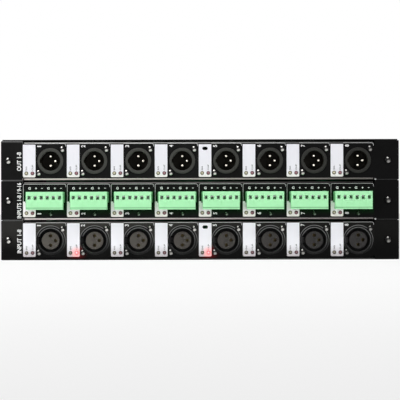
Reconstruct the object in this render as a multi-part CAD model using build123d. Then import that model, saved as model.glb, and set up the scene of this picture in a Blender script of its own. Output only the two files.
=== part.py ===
"""Audio connector bay: three rows of eight channels in one steel case.

Top row: male three-pin round sockets. Middle row: six-way plug-in terminals. Bottom row: female
three-pin round sockets with latches. X runs to the right, Y runs from the front to the back and Z is up.
The model is built with the front face of the folded fronts at Y = 0, then moved so that the origin is
the middle of the footprint.
"""

from build123d import *
import math
import os

# ---------------------------------------------------------------- overall
CHANNELS = 8
ROWS = 3
CELL_WIDTH = 36.9  # one channel, left to right
ROW_PITCH = 33.4
EAR_WIDTH_LEFT = 18.4
EAR_WIDTH_RIGHT = 20.4
TOP_REVEAL = 0.9  # the case stands this much above the top ears
CASE_DEPTH = 118.8  # behind the folded fronts
EAR_OVERHANG = 1.0  # ears stand out past the case at each side

# ---------------------------------------------------------------- folded fronts
FRONT_T = 1.2
FOLD_DEPTH = 9.0
FOLD_RADIUS = 2.0
FOLD_INSET = 1.25  # fold face to the row's edge
FOLD_INSET_BELOW = 0.3  # at the lower edge of a row that stands on another row
EAR_GAP = 0.1  # ear edge to the row's edge
EAR_CORNER = 0.8
RELIEF = 1.2  # bend relief beside each ear
EAR_SCREW_INSET_LEFT = 6.1  # from the ear's outer edge
EAR_SCREW_INSET_RIGHT = 9.2

# ---------------------------------------------------------------- case
COVER_T = 1.0
SIDE_T = 1.5
SIDE_FLANGE = 11.5
SIDE_BEND = 1.0
COVER_SCREW_INSET = 6.9  # from the case's side
REAR_SCREW_INSET = 10.0  # from the inside of a cover
REAR_T = 1.2
VENT_LENGTH = 22.0
VENT_WIDTH = 3.0
VENT_PITCH = 14.0
VENT_COUNT = 18
VENT_ROWS = (55.0, 88.0)  # behind the front
CASE_SCREW_ROWS = (16.0, 60.0, 104.0)  # behind the front, along each cover edge
BRACKET_THREAD_R = 1.65  # M4 tapping size
BRACKET_NUT_R = 4.0
BRACKET_NUT_L = 2.5
BRACKET_SPACING_Y = 60.0
BRACKET_SPACING_Z = 64.0
BRACKET_CENTRE_Y = 60.0

# ---------------------------------------------------------------- screws
M3_R = 1.5
M3_CLEARANCE_R = 1.7
M3_HEAD_R = 2.8
M3_HEAD_H = 1.9
M3_LENGTH = 6.0
THREAD_GAP = 0.05
FLAT_HEAD_R = 2.8
FLAT_HEAD_H = 1.3
FLAT_SCREW_LENGTH = 4.0
SOCKET_SCREW_R = 1.2
SOCKET_SCREW_HEAD_R = 2.45
SOCKET_SCREW_HEAD_H = 1.7
SOCKET_SCREW_LENGTH = 8.0
LUG_SCREW_R = 1.0
LUG_SCREW_HEAD_R = 1.7
LUG_SCREW_HEAD_H = 1.2
RECESS_WIDTH = 0.7
RECESS_SHARE = 0.6  # of the head's radius and height

# ---------------------------------------------------------------- round sockets
SOCKET_X = 23.1  # from the channel's left edge
SOCKET_DOWN = 17.0  # from the row's top edge
SOCKET_HALF = 12.5
SOCKET_CORNER = 2.0
SOCKET_SCREW_OFFSET = 9.9
PIN_CIRCLE = 4.0
PIN_R = 1.2
PIN_TIP = 0.95
PIN_GAP = 0.03
LEG = 1.0  # square leg from a contact down to its card
LEG_STEP = 1.8
LEG_PAST_CARD = 0.6
LEG_HOLE_R = 0.8

OUT_RING_R = 10.85
OUT_RING_PROUD = 0.6
OUT_CUP_R = 8.1
OUT_CUP_DEPTH = 14.0
OUT_BODY_DEPTH = 22.0
OUT_RING_CHAMFER = 0.5
OUT_HOLE_GAP = 0.2
KEYWAY_WIDTH = 3.4
KEYWAY_OUT = 0.9
KEYWAY_DEPTH = 9.8
PIN_SETBACK = 3.0

IN_RING_R = 10.8
IN_RING_PROUD = 0.2
IN_GROOVE_R = 9.9
IN_GROOVE_DEPTH = 10.0
IN_HOLE_R = 12.2
IN_BODY_DEPTH = 24.5
INSERT_R = 7.4
INSERT_GAP = 0.05
INSERT_SETBACK = 0.3
INSERT_SEAM = 0.04  # between the insert's three mouldings
CONTACT_HOLE_R = 1.4
CONTACT_R = 1.3
CONTACT_BORE_R = 1.22
CONTACT_SETBACK = 2.0
CONTACT_BORE_DEPTH = 11.0

# ---------------------------------------------------------------- latches
LATCH_PIVOT_OUT = 11.0  # from the socket's axis
LATCH_PIVOT_DEPTH = 19.0
LATCH_PIN_R = 0.75
LATCH_PIN_HALF = 6.0
LATCH_HUB_R = 1.55
LATCH_HALF = 3.0
LATCH_SLOT_HALF = 3.3
LATCH_ARM_INSIDE = 10.4
LATCH_ARM_T = 1.2
LATCH_FRONT = 1.7
LATCH_HOOK_INSIDE = 8.0
LATCH_HOOK_DEPTHS = (2.6, 6.0)
LATCH_HOOK_HALF = 2.4
LATCH_SLOT_FLOOR = 9.2
LATCH_WINDOW_HALF = 5.0
LATCH_PIN_GAP = 0.05
LATCH_SLOT_GAP = 0.4  # behind the hub
SPRING_L = 1.6
SPRING_WALL = 0.4
SPRING_GAP = 0.1

# ---------------------------------------------------------------- terminals
POLES = 6
POLE_PITCH = 5.08
PLUG_LEFT = 3.2
PLUG_SIDE = 0.2  # plastic outside the outer poles' pitch
PLUG_DOWN = 9.5
PLUG_HEIGHT = 14.9
PLUG_PROUD = 10.0
PLUG_BACK_GAP = 0.6
PLUG_EDGE = 0.4
ENTRY_WIDTH = 2.6
ENTRY_HEIGHT = 3.3
ENTRY_DOWN = 5.0  # plug top to entry centre
LEDGE_UP = 1.5
GROOVE = 0.3
HEADER_DOWN = 14.0  # row top to header centre
HEADER_HEIGHT = 8.6
HEADER_PAST_PLUG = 0.8  # wider than the plug, at each side
HEADER_WALL = 1.1
HEADER_PROUD = 0.3
HEADER_DEPTH = 11.0
HEADER_CAVITY_DEPTH = 7.8
HEADER_FOOT_T = 2.5
HEADER_FOOT_GAP = 0.4  # foot to the nearest lamp holder
HEADER_HOLE_GAP = 0.25
NOSE_GAP = 0.2
NOSE_LENGTH = 7.0
HEADER_PIN = 1.0
HEADER_PIN_FRONT = 1.4
HEADER_PIN_BACK = 14.6
LUG_X = 23.3  # from the channel's left edge
LUG_WIDTH = 8.0
LUG_SCREW_DOWN = 28.1
CAGE_WIDTH = 3.8
CAGE_DEPTH = 3.2
CAGE_UP = 2.3
CAGE_DOWN = 2.6
CAGE_WALL = 0.7
CAGE_FROM_FRONT = 2.6
CAGE_GAP = 0.1
CLAMP_SCREW_R = 1.2
CLAMP_HEAD_R = 1.6
CLAMP_HEAD_H = 1.6
CLAMP_HEAD_UP = 0.7
CLAMP_HEAD_GAP = 0.15
BLADE_T = 0.4
BLADE_HALF = 0.55
BLADE_GAP = 0.05
PIN_SLOT_GAP = 0.12

# ---------------------------------------------------------------- lamps and strips
LAMP_LEFT = 2.9
LAMP_RIGHT = 8.0
LAMP_DOWN = 27.3
LAMP_R = 1.5
LAMP_PROUD = 0.9
LAMP_RIM_R = 1.85
LAMP_RIM_FRONT = 3.0
LAMP_RIM_BACK = 4.0
LAMP_HOLE_GAP = 0.1
HOLDER_WIDTH = 4.2
HOLDER_HEIGHT = 4.4
HOLDER_FRONT = 1.4
HOLDER_BACK = 13.0
LAMP_LEAD = 0.5
LAMP_LEAD_SPACING = 1.6
LAMP_LEAD_DOWN_Y = 11.6
STRIP_WIDTH = 10.6
STRIP_DOWN = 2.4
STRIP_HEIGHT = 28.2
STRIP_SHORT_DOWN = 17.6
STRIP_T = 0.2
STRIP_CORNER = 1.0
STRIP_GAP = 0.2
ACCESS_CHANNEL = 5
ACCESS_WIDTH = 4.5
ACCESS_HEIGHT = 2.8
ACCESS_DOWN = 3.5  # strip top to slot centre

# ---------------------------------------------------------------- cards and backplane
CARD_T = 1.6
CARD_CORNER = 2.0
CARD_FRONT = 10.0
CARD_SIDE_GAP = 1.0  # card edge to the side plate's flange
GUIDE_ABOVE = 6.0  # card's underside to the rail's top
GUIDE_WEB_UP = 2.2  # card's underside to the web that reaches the side plate
GUIDE_LIP = 1.0
GUIDE_HOOK = 0.7
GUIDE_CLEAR = 0.15
GUIDE_COVERS = 1.5  # of the card's edge
GUIDE_FRONT = 12.0
GUIDE_SHORT = 3.0  # rail's rear end to the card's
GUIDE_PEG_R = 1.9
GUIDE_PEG_GAP = 0.05
GUIDE_PEGS = (30.0, 75.0)
EDGE_PLUG_HALF = 44.0
EDGE_PLUG_X = 62.0
EDGE_PLUG_DEPTH = 11.9
EDGE_PLUG_OVERHANG = 0.9  # past the card's rear edge
EDGE_PLUG_HEIGHT = 10.0
EDGE_TONGUE_HALF = 41.0
EDGE_TONGUE_HEIGHT = 4.8
EDGE_TONGUE_LENGTH = 6.5
EDGE_GAP = 0.2
EDGE_MATE_GAP = 0.3  # plug's shoulder to the backplane socket
EDGE_SOCKET_DEPTH = 9.0
BACKPLANE_T = 1.6
BACKPLANE_HALF = 138.0
BACKPLANE_LOW = 6.0
BACKPLANE_HIGH = 95.0
STANDOFF_L = 12.0
STANDOFF_R = 3.0
STANDOFF_XS = (-128.0, 0.0, 128.0)
STANDOFF_ZS = (11.0, 90.0)
STUD_R = 1.5
CHIP_L = 9.9
CHIP_W = 6.0
CHIP_H = 1.8
CHIP_Y = 45.0
CHIP_LEADS = 7
CHIP_LEAD_PITCH = 1.27
CHIP_LEAD = 0.4
CHIP_UNDER = 0.1
CAP_R = 4.0
CAP_H = 11.0
CAP_EDGE = 0.5
CAP_Y = 66.0

# ---------------------------------------------------------------- rear multiway sockets
MULTIWAY = ((0, -62.0), (1, -62.0), (1, 62.0), (2, -62.0))  # row and place across the rear
MULTIWAY_UP = 17.0  # row bottom to connector centre
MULTIWAY_FLANGE_W = 53.0
MULTIWAY_FLANGE_H = 12.5
MULTIWAY_FLANGE_T = 0.8
MULTIWAY_SHELL_W = 38.3
MULTIWAY_SHELL_H = 7.9
MULTIWAY_SHELL_OUT = 6.0
MULTIWAY_HOLE_GAP = 0.3
MULTIWAY_BODY_W = 41.0
MULTIWAY_BODY_H = 10.0
MULTIWAY_PITCH = 2.77
MULTIWAY_ROW_GAP = 2.84
MULTIWAY_CONTACTS = ((13, 1), (12, -1))  # how many, and above or below the middle
MULTIWAY_LEAN = 10.0  # degrees, of the ends of the D
MULTIWAY_CONTACT_R = 0.55
MULTIWAY_CONTACT_DEPTH = 5.0
JACK_SPACING = 47.0
JACK_HEX = 4.8
JACK_LENGTH = 5.0
JACK_BORE_R = 1.2
JACK_BORE_DEPTH = 4.0
JACK_STUD_R = 1.4
JACK_STUD_LENGTH = 6.0

# ---------------------------------------------------------------- places worked out from the above
BAY_WIDTH = CHANNELS * CELL_WIDTH
FRONT_HALF = (BAY_WIDTH + EAR_WIDTH_LEFT + EAR_WIDTH_RIGHT) / 2
BAY_LEFT = EAR_WIDTH_LEFT - FRONT_HALF
BAY_RIGHT = BAY_LEFT + BAY_WIDTH
CASE_HALF = FRONT_HALF - EAR_OVERHANG
CASE_HEIGHT = ROWS * ROW_PITCH + TOP_REVEAL
CASE_BACK = FRONT_T + CASE_DEPTH
REAR_INSIDE = CASE_BACK - REAR_T
INNER_LOW = COVER_T
INNER_HIGH = CASE_HEIGHT - COVER_T
EAR_SCREW_XS = {-1: EAR_SCREW_INSET_LEFT - FRONT_HALF, 1: FRONT_HALF - EAR_SCREW_INSET_RIGHT}
REAR_OUT = JACK_LENGTH
FRONT_Y = (PLUG_PROUD - CASE_BACK - REAR_OUT) / 2  # where the front face lies from the origin
SOCKET_UP = ROW_PITCH - SOCKET_DOWN
CARD_TOP_UP = SOCKET_UP - SOCKET_HALF
CARD_LOW_UP = CARD_TOP_UP - CARD_T
CARD_HALF = CASE_HALF - SIDE_FLANGE - CARD_SIDE_GAP
BACKPLANE_BACK = REAR_INSIDE - STANDOFF_L
BACKPLANE_FRONT = BACKPLANE_BACK - BACKPLANE_T
EDGE_PLUG_BACK = BACKPLANE_FRONT - EDGE_SOCKET_DEPTH - EDGE_MATE_GAP
EDGE_PLUG_FRONT = EDGE_PLUG_BACK - EDGE_PLUG_DEPTH
CARD_BACK = EDGE_PLUG_BACK - EDGE_PLUG_OVERHANG
GUIDE_BACK = CARD_BACK - GUIDE_SHORT
PLUG_WIDTH = POLES * POLE_PITCH + 2 * PLUG_SIDE
PLUG_X = PLUG_LEFT + PLUG_WIDTH / 2
HEADER_WIDTH = PLUG_WIDTH + 2 * HEADER_PAST_PLUG
NOSE_WIDTH = HEADER_WIDTH - 2 * HEADER_WALL - 2 * NOSE_GAP
NOSE_HEIGHT = HEADER_HEIGHT - 2 * HEADER_WALL - 2 * NOSE_GAP
OUTPUT_ROW, TERMINAL_ROW, INPUT_ROW = 0, 1, 2


def row_low(row):
    return (ROWS - 1 - row) * ROW_PITCH


def row_high(row):
    return row_low(row) + ROW_PITCH


def cell_left(channel):
    return BAY_LEFT + channel * CELL_WIDTH


def cells():
    return [cell_left(channel) for channel in range(CHANNELS)]


# ---------------------------------------------------------------- shape helpers
BASED = (Align.CENTER, Align.CENTER, Align.MIN)


def block(x0, x1, y0, y1, z0, z1):
    low = (min(x0, x1), min(y0, y1), min(z0, z1))
    return Pos(*low) * Box(abs(x1 - x0), abs(y1 - y0), abs(z1 - z0), align=(Align.MIN,) * 3)


def rod_x(r, y, z, x0, x1):
    return Pos(min(x0, x1), y, z) * Rot(0, 90, 0) * Cylinder(r, abs(x1 - x0), align=BASED)


def rod_y(r, x, z, y0, y1):
    return Pos(x, min(y0, y1), z) * Rot(-90, 0, 0) * Cylinder(r, abs(y1 - y0), align=BASED)


def rod_z(r, x, y, z0, z1):
    return Pos(x, y, min(z0, z1)) * Cylinder(r, abs(z1 - z0), align=BASED)


def rounded(shape, axis, radius, choose=None):
    """Round the edges that run along an axis, all of them or those that choose picks."""
    edges = shape.edges().filter_by(axis)
    if choose:
        edges = edges.filter_by(choose)
    return fillet(edges, radius)


def together(pieces):
    return Compound(children=list(pieces))


def save(name, shape):
    placed = Pos(0, FRONT_Y, 0) * shape
    export_step(placed, os.path.join("parts", name + ".step"))


def pan_head(radius, height, x, z, face):
    """A cross-recessed pan head whose underside is on a face that looks towards -Y."""
    head = rod_y(radius, x, z, face - height, face)
    front = head.faces().sort_by(Axis.Y)[0]
    head = fillet(front.edges(), height * RECESS_SHARE)
    arm = radius * RECESS_SHARE
    deep = face - height * (1 - RECESS_SHARE)
    for across, up in ((arm, RECESS_WIDTH / 2), (RECESS_WIDTH / 2, arm)):
        head -= block(x - across, x + across, face - height, deep, z - up, z + up)
    return head


def pan_screw(x, z, face, radius, length, head_r, head_h):
    return pan_head(head_r, head_h, x, z, face) + rod_y(radius, x, z, face, face + length)


def flat_screw_shape(gap):
    """A countersunk screw along -Z with its head's top at the origin."""
    head = Pos(0, 0, -FLAT_HEAD_H) * Cone(M3_R + gap, FLAT_HEAD_R + gap, FLAT_HEAD_H, align=BASED)
    return head + rod_z(M3_R + gap, 0, 0, -FLAT_SCREW_LENGTH, -FLAT_HEAD_H / 2)


# ---------------------------------------------------------------- folded fronts
def folded_front(row):
    low, high = row_low(row), row_high(row)
    inset_below = FOLD_INSET if row == INPUT_ROW else FOLD_INSET_BELOW
    bottom, top = low + inset_below, high - FOLD_INSET
    fold_left, fold_right = BAY_LEFT + RELIEF, BAY_RIGHT - RELIEF
    outer = block(fold_left, fold_right, 0, FOLD_DEPTH, bottom, top)
    outer = rounded(outer, Axis.X, FOLD_RADIUS, lambda e: e.center().Y < FRONT_T / 2)
    hollow = block(
        fold_left, fold_right, FRONT_T, FOLD_DEPTH, bottom + FRONT_T, top - FRONT_T
    )
    hollow = rounded(
        hollow, Axis.X, FOLD_RADIUS - FRONT_T, lambda e: e.center().Y < FRONT_T * 1.5
    )
    sheet = outer - hollow
    sheet += block(
        BAY_LEFT, BAY_RIGHT, 0, FRONT_T, bottom + FOLD_RADIUS, top - FOLD_RADIUS
    )
    for side, inner in ((-1, BAY_LEFT), (1, BAY_RIGHT)):
        ear = block(inner, side * FRONT_HALF, 0, FRONT_T, low + EAR_GAP, high - EAR_GAP)
        ear = rounded(ear, Axis.Y, EAR_CORNER, lambda e: abs(e.center().X) > FRONT_HALF - 1)
        sheet += ear
        sheet -= rod_y(
            M3_CLEARANCE_R, EAR_SCREW_XS[side], (low + high) / 2, -FRONT_T, 2 * FRONT_T
        )
    return sheet


def lamp_places(row):
    z = row_high(row) - LAMP_DOWN
    return [(left + offset, z) for left in cells() for offset in (LAMP_LEFT, LAMP_RIGHT)]


def socket_places(row):
    z = row_high(row) - SOCKET_DOWN
    return [(left + SOCKET_X, z) for left in cells()]


def access_slot(row, y0, y1):
    left = cell_left(ACCESS_CHANNEL - 1)
    x = left + STRIP_WIDTH / 2
    z = row_high(row) - STRIP_DOWN - ACCESS_DOWN
    half = ACCESS_WIDTH / 2
    slot = block(x - half, x + half, y0, y1, z - ACCESS_HEIGHT / 2, z + ACCESS_HEIGHT / 2)
    return rounded(slot, Axis.Y, ACCESS_HEIGHT * 0.48)


def lamp_holes(row, y0, y1):
    return [rod_y(LAMP_R + LAMP_HOLE_GAP, x, z, y0, y1) for x, z in lamp_places(row)]


def socket_front(row, hole_r):
    tools = lamp_holes(row, -FRONT_T, 2 * FRONT_T)
    tools.append(access_slot(row, -FRONT_T, 2 * FRONT_T))
    for x, z in socket_places(row):
        tools.append(rod_y(hole_r, x, z, -FRONT_T, 2 * FRONT_T))
        for side in (-1, 1):
            at = SOCKET_SCREW_OFFSET * side
            tools.append(
                rod_y(SOCKET_SCREW_R + THREAD_GAP, x + at, z + at, -FRONT_T, 2 * FRONT_T)
            )
    return folded_front(row) - tools


def header_place(left):
    return left + PLUG_X, row_high(TERMINAL_ROW) - HEADER_DOWN


def terminal_front():
    tools = lamp_holes(TERMINAL_ROW, -FRONT_T, 2 * FRONT_T)
    half_x = HEADER_WIDTH / 2 + HEADER_HOLE_GAP
    half_z = HEADER_HEIGHT / 2 + HEADER_HOLE_GAP
    for left in cells():
        x, z = header_place(left)
        tools.append(
            block(x - half_x, x + half_x, -FRONT_T, 2 * FRONT_T, z - half_z, z + half_z)
        )
        lug_z = row_high(TERMINAL_ROW) - LUG_SCREW_DOWN
        tools.append(rod_y(LUG_SCREW_R + THREAD_GAP, left + LUG_X, lug_z, -FRONT_T, 2 * FRONT_T))
    return folded_front(TERMINAL_ROW) - tools


# ---------------------------------------------------------------- case
def side_plate(side):
    outside = CASE_HALF * side
    flange_edge = (CASE_HALF - SIDE_FLANGE) * side
    plate = block(outside, flange_edge, FRONT_T, REAR_INSIDE, INNER_LOW, INNER_HIGH)
    near_outside = lambda e: abs(e.center().X) > CASE_HALF - SIDE_T / 2
    for axis in (Axis.Z, Axis.Y):
        plate = rounded(plate, axis, SIDE_BEND, near_outside)
    hollow = block(
        outside - SIDE_T * side,
        flange_edge - SIDE_FLANGE * side,
        FRONT_T + SIDE_T,
        REAR_INSIDE - SIDE_T,
        INNER_LOW + SIDE_T,
        INNER_HIGH - SIDE_T,
    )
    plate -= hollow
    for y, z in bracket_places():
        plate += rod_x(
            BRACKET_NUT_R, y, z, outside - SIDE_T * side, outside - (SIDE_T + BRACKET_NUT_L) * side
        )
        plate -= rod_x(BRACKET_THREAD_R, y, z, outside + side, outside - 8 * side)
    for row in range(ROWS):
        z = row_low(row) + ROW_PITCH / 2
        plate -= rod_y(M3_R + THREAD_GAP, EAR_SCREW_XS[side], z, 0, FRONT_T + 2 * SIDE_T)
        for y in GUIDE_PEGS:
            plate -= rod_x(
                GUIDE_PEG_R + GUIDE_PEG_GAP, y, guide_peg_z(row), outside + side, outside - 4 * side
            )
    for screw in flat_screws(THREAD_GAP, side):
        plate -= screw
    for x, z in rear_screw_places():
        if x * side > 0:
            plate -= rod_y(M3_R + THREAD_GAP, x, z, REAR_INSIDE - 2 * SIDE_T, CASE_BACK)
    return plate


def bracket_places():
    ys = [BRACKET_CENTRE_Y + BRACKET_SPACING_Y * k for k in (-0.5, 0.5)]
    zs = [CASE_HEIGHT / 2 + BRACKET_SPACING_Z * k for k in (-0.5, 0.5)]
    return [(y, z) for y in ys for z in zs]


def cover_screw_x():
    return CASE_HALF - COVER_SCREW_INSET


def flat_screws(gap, *sides):
    """The countersunk screws of both covers, as screws or, with a gap, as the holes for them."""
    screws = []
    for side in sides:
        for y in CASE_SCREW_ROWS:
            x = cover_screw_x() * side
            screws.append(Pos(x, y, CASE_HEIGHT) * flat_screw_shape(gap))
            screws.append(Pos(x, y, 0) * Rot(180, 0, 0) * flat_screw_shape(gap))
    return screws


def rear_screw_places():
    x = cover_screw_x()
    zs = (INNER_LOW + REAR_SCREW_INSET, CASE_HEIGHT / 2, INNER_HIGH - REAR_SCREW_INSET)
    return [(x * side, z) for side in (-1, 1) for z in zs]


def cover(low):
    sheet = block(-CASE_HALF, CASE_HALF, FRONT_T, CASE_BACK, low, low + COVER_T)
    sheet = rounded(sheet, Axis.Z, SIDE_BEND)
    tools = flat_screws(THREAD_GAP, -1, 1)
    first = -VENT_PITCH * (VENT_COUNT - 1) / 2
    for row_y in VENT_ROWS:
        for k in range(VENT_COUNT):
            x = first + k * VENT_PITCH
            slot = block(
                x - VENT_WIDTH / 2,
                x + VENT_WIDTH / 2,
                row_y - VENT_LENGTH / 2,
                row_y + VENT_LENGTH / 2,
                low - COVER_T,
                low + 2 * COVER_T,
            )
            tools.append(rounded(slot, Axis.Z, VENT_WIDTH * 0.48))
    return sheet - tools


def multiway_places():
    return [(x, row_low(row) + MULTIWAY_UP) for row, x in MULTIWAY]


def jack_places():
    half = JACK_SPACING / 2
    return [(x + half * side, z) for x, z in multiway_places() for side in (-1, 1)]


def d_outline(width, height, gap, x, z, y0, y1):
    """The D of a multiway shell: its long side up, its ends leaning in by ten degrees."""
    lean = (height / 2 + gap) * math.tan(math.radians(MULTIWAY_LEAN))
    half_w, half_h = width / 2 + gap, height / 2 + gap
    corners = [
        (x - half_w, y0, z + half_h),
        (x + half_w, y0, z + half_h),
        (x + half_w - 2 * lean, y0, z - half_h),
        (x - half_w + 2 * lean, y0, z - half_h),
    ]
    face = Face(Wire.make_polygon(corners, close=True))
    solid = extrude(face, amount=y1 - y0, dir=(0, 1, 0))
    return rounded(solid, Axis.Y, height / 4)


def rear_panel():
    sheet = block(-CASE_HALF, CASE_HALF, REAR_INSIDE, CASE_BACK, INNER_LOW, INNER_HIGH)
    tools = []
    for x, z in multiway_places():
        tools.append(
            d_outline(
                MULTIWAY_SHELL_W, MULTIWAY_SHELL_H, MULTIWAY_HOLE_GAP, x, z,
                REAR_INSIDE - REAR_T, CASE_BACK + REAR_T,
            )
        )
    for x, z in jack_places():
        tools.append(rod_y(JACK_STUD_R + THREAD_GAP, x, z, REAR_INSIDE - 1, CASE_BACK + 1))
    for x, z in rear_screw_places() + standoff_places():
        tools.append(rod_y(M3_CLEARANCE_R, x, z, REAR_INSIDE - 1, CASE_BACK + 1))
    return sheet - tools


def rear_screw(x, z):
    """A pan screw put in from the rear."""
    return mirror(
        pan_screw(x, z, -CASE_BACK, M3_R, M3_LENGTH, M3_HEAD_R, M3_HEAD_H), about=Plane.XZ
    )


def case_screws():
    screws = flat_screws(0, -1, 1)
    screws += [rear_screw(x, z) for x, z in rear_screw_places() + standoff_places()]
    return together(screws)


def panel_screws():
    screws = []
    for row in range(ROWS):
        z = row_low(row) + ROW_PITCH / 2
        for side in (-1, 1):
            screws.append(
                pan_screw(EAR_SCREW_XS[side], z, 0, M3_R, M3_LENGTH, M3_HEAD_R, M3_HEAD_H)
            )
    return together(screws)


# ---------------------------------------------------------------- round sockets
def socket_screws():
    screws = []
    for row in (OUTPUT_ROW, INPUT_ROW):
        for x, z in socket_places(row):
            for side in (-1, 1):
                at = SOCKET_SCREW_OFFSET * side
                screws.append(
                    pan_screw(
                        x + at, z + at, 0, SOCKET_SCREW_R, SOCKET_SCREW_LENGTH,
                        SOCKET_SCREW_HEAD_R, SOCKET_SCREW_HEAD_H,
                    )
                )
    z = row_high(TERMINAL_ROW) - LUG_SCREW_DOWN
    for left in cells():
        screws.append(
            pan_screw(
                left + LUG_X, z, 0, LUG_SCREW_R, SOCKET_SCREW_LENGTH,
                LUG_SCREW_HEAD_R, LUG_SCREW_HEAD_H,
            )
        )
    return together(screws)


def socket_body(x, z, depth, gap):
    """The square body behind a front, with its two screw holes."""
    half = SOCKET_HALF
    body = block(x - half, x + half, FRONT_T, depth, z - half, z + half)
    body = rounded(body, Axis.Y, SOCKET_CORNER, lambda e: e.center().Z > z)
    for side in (-1, 1):
        at = SOCKET_SCREW_OFFSET * side
        body -= rod_y(
            SOCKET_SCREW_R + gap, x + at, z + at, 0, SOCKET_SCREW_LENGTH + 1
        )
    return body


def pin_places(x, z):
    """Upper, right-hand and lower contact of a round socket."""
    return [(x, z + PIN_CIRCLE), (x + PIN_CIRCLE, z), (x, z - PIN_CIRCLE)]


def legs_behind(depth):
    """How far back each contact's leg goes down: the upper one furthest, the lower one least."""
    return [depth + LEG_STEP * step for step in (3, 2, 1)]


def leg(x, z, y0, y_down, row):
    """A square leg that leaves a contact's rear and goes down through its card."""
    half = LEG / 2
    foot = row_low(row) + CARD_LOW_UP - LEG_PAST_CARD
    along = block(x - half, x + half, y0, y_down + half, z - half, z + half)
    return along + block(x - half, x + half, y_down - half, y_down + half, foot, z + half)


def output_shell(x, z):
    body = socket_body(x, z, OUT_BODY_DEPTH, THREAD_GAP)
    ring = rod_y(OUT_RING_R, x, z, -OUT_RING_PROUD, FRONT_T)
    ring = chamfer(ring.faces().sort_by(Axis.Y)[0].edges(), OUT_RING_CHAMFER)
    body += ring
    body -= rod_y(OUT_CUP_R, x, z, -OUT_RING_PROUD, OUT_CUP_DEPTH)
    body -= block(
        x - OUT_CUP_R - KEYWAY_OUT, x - PIN_CIRCLE, -OUT_RING_PROUD, KEYWAY_DEPTH,
        z - KEYWAY_WIDTH / 2, z + KEYWAY_WIDTH / 2,
    )
    for px, pz in pin_places(x, z):
        body -= rod_y(PIN_R + PIN_GAP, px, pz, OUT_CUP_DEPTH - 1, OUT_BODY_DEPTH + 1)
    return body


def output_pins():
    pins = []
    for x, z in socket_places(OUTPUT_ROW):
        for (px, pz), down in zip(pin_places(x, z), legs_behind(OUT_BODY_DEPTH)):
            pin = rod_y(PIN_R, px, pz, PIN_SETBACK, OUT_BODY_DEPTH)
            pin = fillet(pin.faces().sort_by(Axis.Y)[0].edges(), PIN_TIP)
            pins.append(pin + leg(px, pz, OUT_BODY_DEPTH, down, OUTPUT_ROW))
    return together(pins)


def input_shell(x, z):
    body = socket_body(x, z, IN_BODY_DEPTH, THREAD_GAP)
    body += rod_y(IN_RING_R, x, z, -IN_RING_PROUD, FRONT_T)
    groove = rod_y(IN_GROOVE_R, x, z, -IN_RING_PROUD, IN_GROOVE_DEPTH)
    body -= groove
    body -= rod_y(INSERT_R + INSERT_GAP, x, z, -IN_RING_PROUD, IN_BODY_DEPTH)
    window = LATCH_WINDOW_HALF
    body -= block(
        x - IN_HOLE_R, x - LATCH_HOOK_INSIDE, -IN_RING_PROUD, FRONT_T + 1, z - window, z + window
    )
    slot = LATCH_SLOT_HALF
    slot_back = LATCH_PIVOT_DEPTH + LATCH_HUB_R + LATCH_SLOT_GAP
    body -= block(
        x - SOCKET_HALF - 1, x - LATCH_SLOT_FLOOR, FRONT_T, slot_back, z - slot, z + slot
    )
    body -= rod_z(
        LATCH_PIN_R + THREAD_GAP, x - LATCH_PIVOT_OUT, LATCH_PIVOT_DEPTH,
        z - LATCH_PIN_HALF, z + LATCH_PIN_HALF,
    )
    return body


def input_insert(x, z):
    """A left half and two right-hand quarters that close round the three contacts."""
    insert = rod_y(INSERT_R, x, z, INSERT_SETBACK, IN_BODY_DEPTH)
    for px, pz in pin_places(x, z):
        insert -= rod_y(CONTACT_HOLE_R, px, pz, 0, IN_BODY_DEPTH)
    seam, reach = INSERT_SEAM / 2, INSERT_R + 1
    left = insert & block(x - reach, x - seam, 0, IN_BODY_DEPTH, z - reach, z + reach)
    right = [
        insert & block(x + seam, x + reach, 0, IN_BODY_DEPTH, z + side * seam, z + side * reach)
        for side in (-1, 1)
    ]
    return [left, *right]


def input_contacts():
    contacts = []
    for x, z in socket_places(INPUT_ROW):
        for (px, pz), down in zip(pin_places(x, z), legs_behind(IN_BODY_DEPTH)):
            contact = rod_y(CONTACT_R, px, pz, CONTACT_SETBACK, IN_BODY_DEPTH)
            contact -= rod_y(
                CONTACT_BORE_R, px, pz, CONTACT_SETBACK, CONTACT_SETBACK + CONTACT_BORE_DEPTH
            )
            contacts.append(contact + leg(px, pz, IN_BODY_DEPTH, down, INPUT_ROW))
    return together(contacts)


# ---------------------------------------------------------------- latches
def input_latch(x, z):
    """A lever beside the socket: a hub at the rear, an arm to the front and a hook into the groove."""
    hub_x = x - LATCH_PIVOT_OUT
    low, high = z - LATCH_HALF, z + LATCH_HALF
    arm_in = x - LATCH_ARM_INSIDE
    lever = block(
        arm_in - LATCH_ARM_T, arm_in, LATCH_FRONT, LATCH_PIVOT_DEPTH, low, high
    )
    lever += rod_z(LATCH_HUB_R, hub_x, LATCH_PIVOT_DEPTH, low, high)
    front, back = LATCH_HOOK_DEPTHS
    tip = x - LATCH_HOOK_INSIDE
    ramp = [
        (arm_in, front, z - LATCH_HOOK_HALF),
        (tip, (front + back) / 2, z - LATCH_HOOK_HALF),
        (tip, back, z - LATCH_HOOK_HALF),
        (arm_in, back, z - LATCH_HOOK_HALF),
    ]
    face = Face(Wire.make_polygon(ramp, close=True))
    lever += extrude(face, amount=2 * LATCH_HOOK_HALF, dir=(0, 0, 1))
    lever -= rod_z(LATCH_PIN_R + LATCH_PIN_GAP, hub_x, LATCH_PIVOT_DEPTH, low, high)
    spring_room = high - SPRING_L - 2 * SPRING_GAP
    lever -= block(
        hub_x - LATCH_HUB_R, hub_x + LATCH_HUB_R, LATCH_PIVOT_DEPTH - LATCH_HUB_R - SPRING_GAP,
        LATCH_PIVOT_DEPTH + LATCH_HUB_R, spring_room, high,
    )
    return lever


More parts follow.
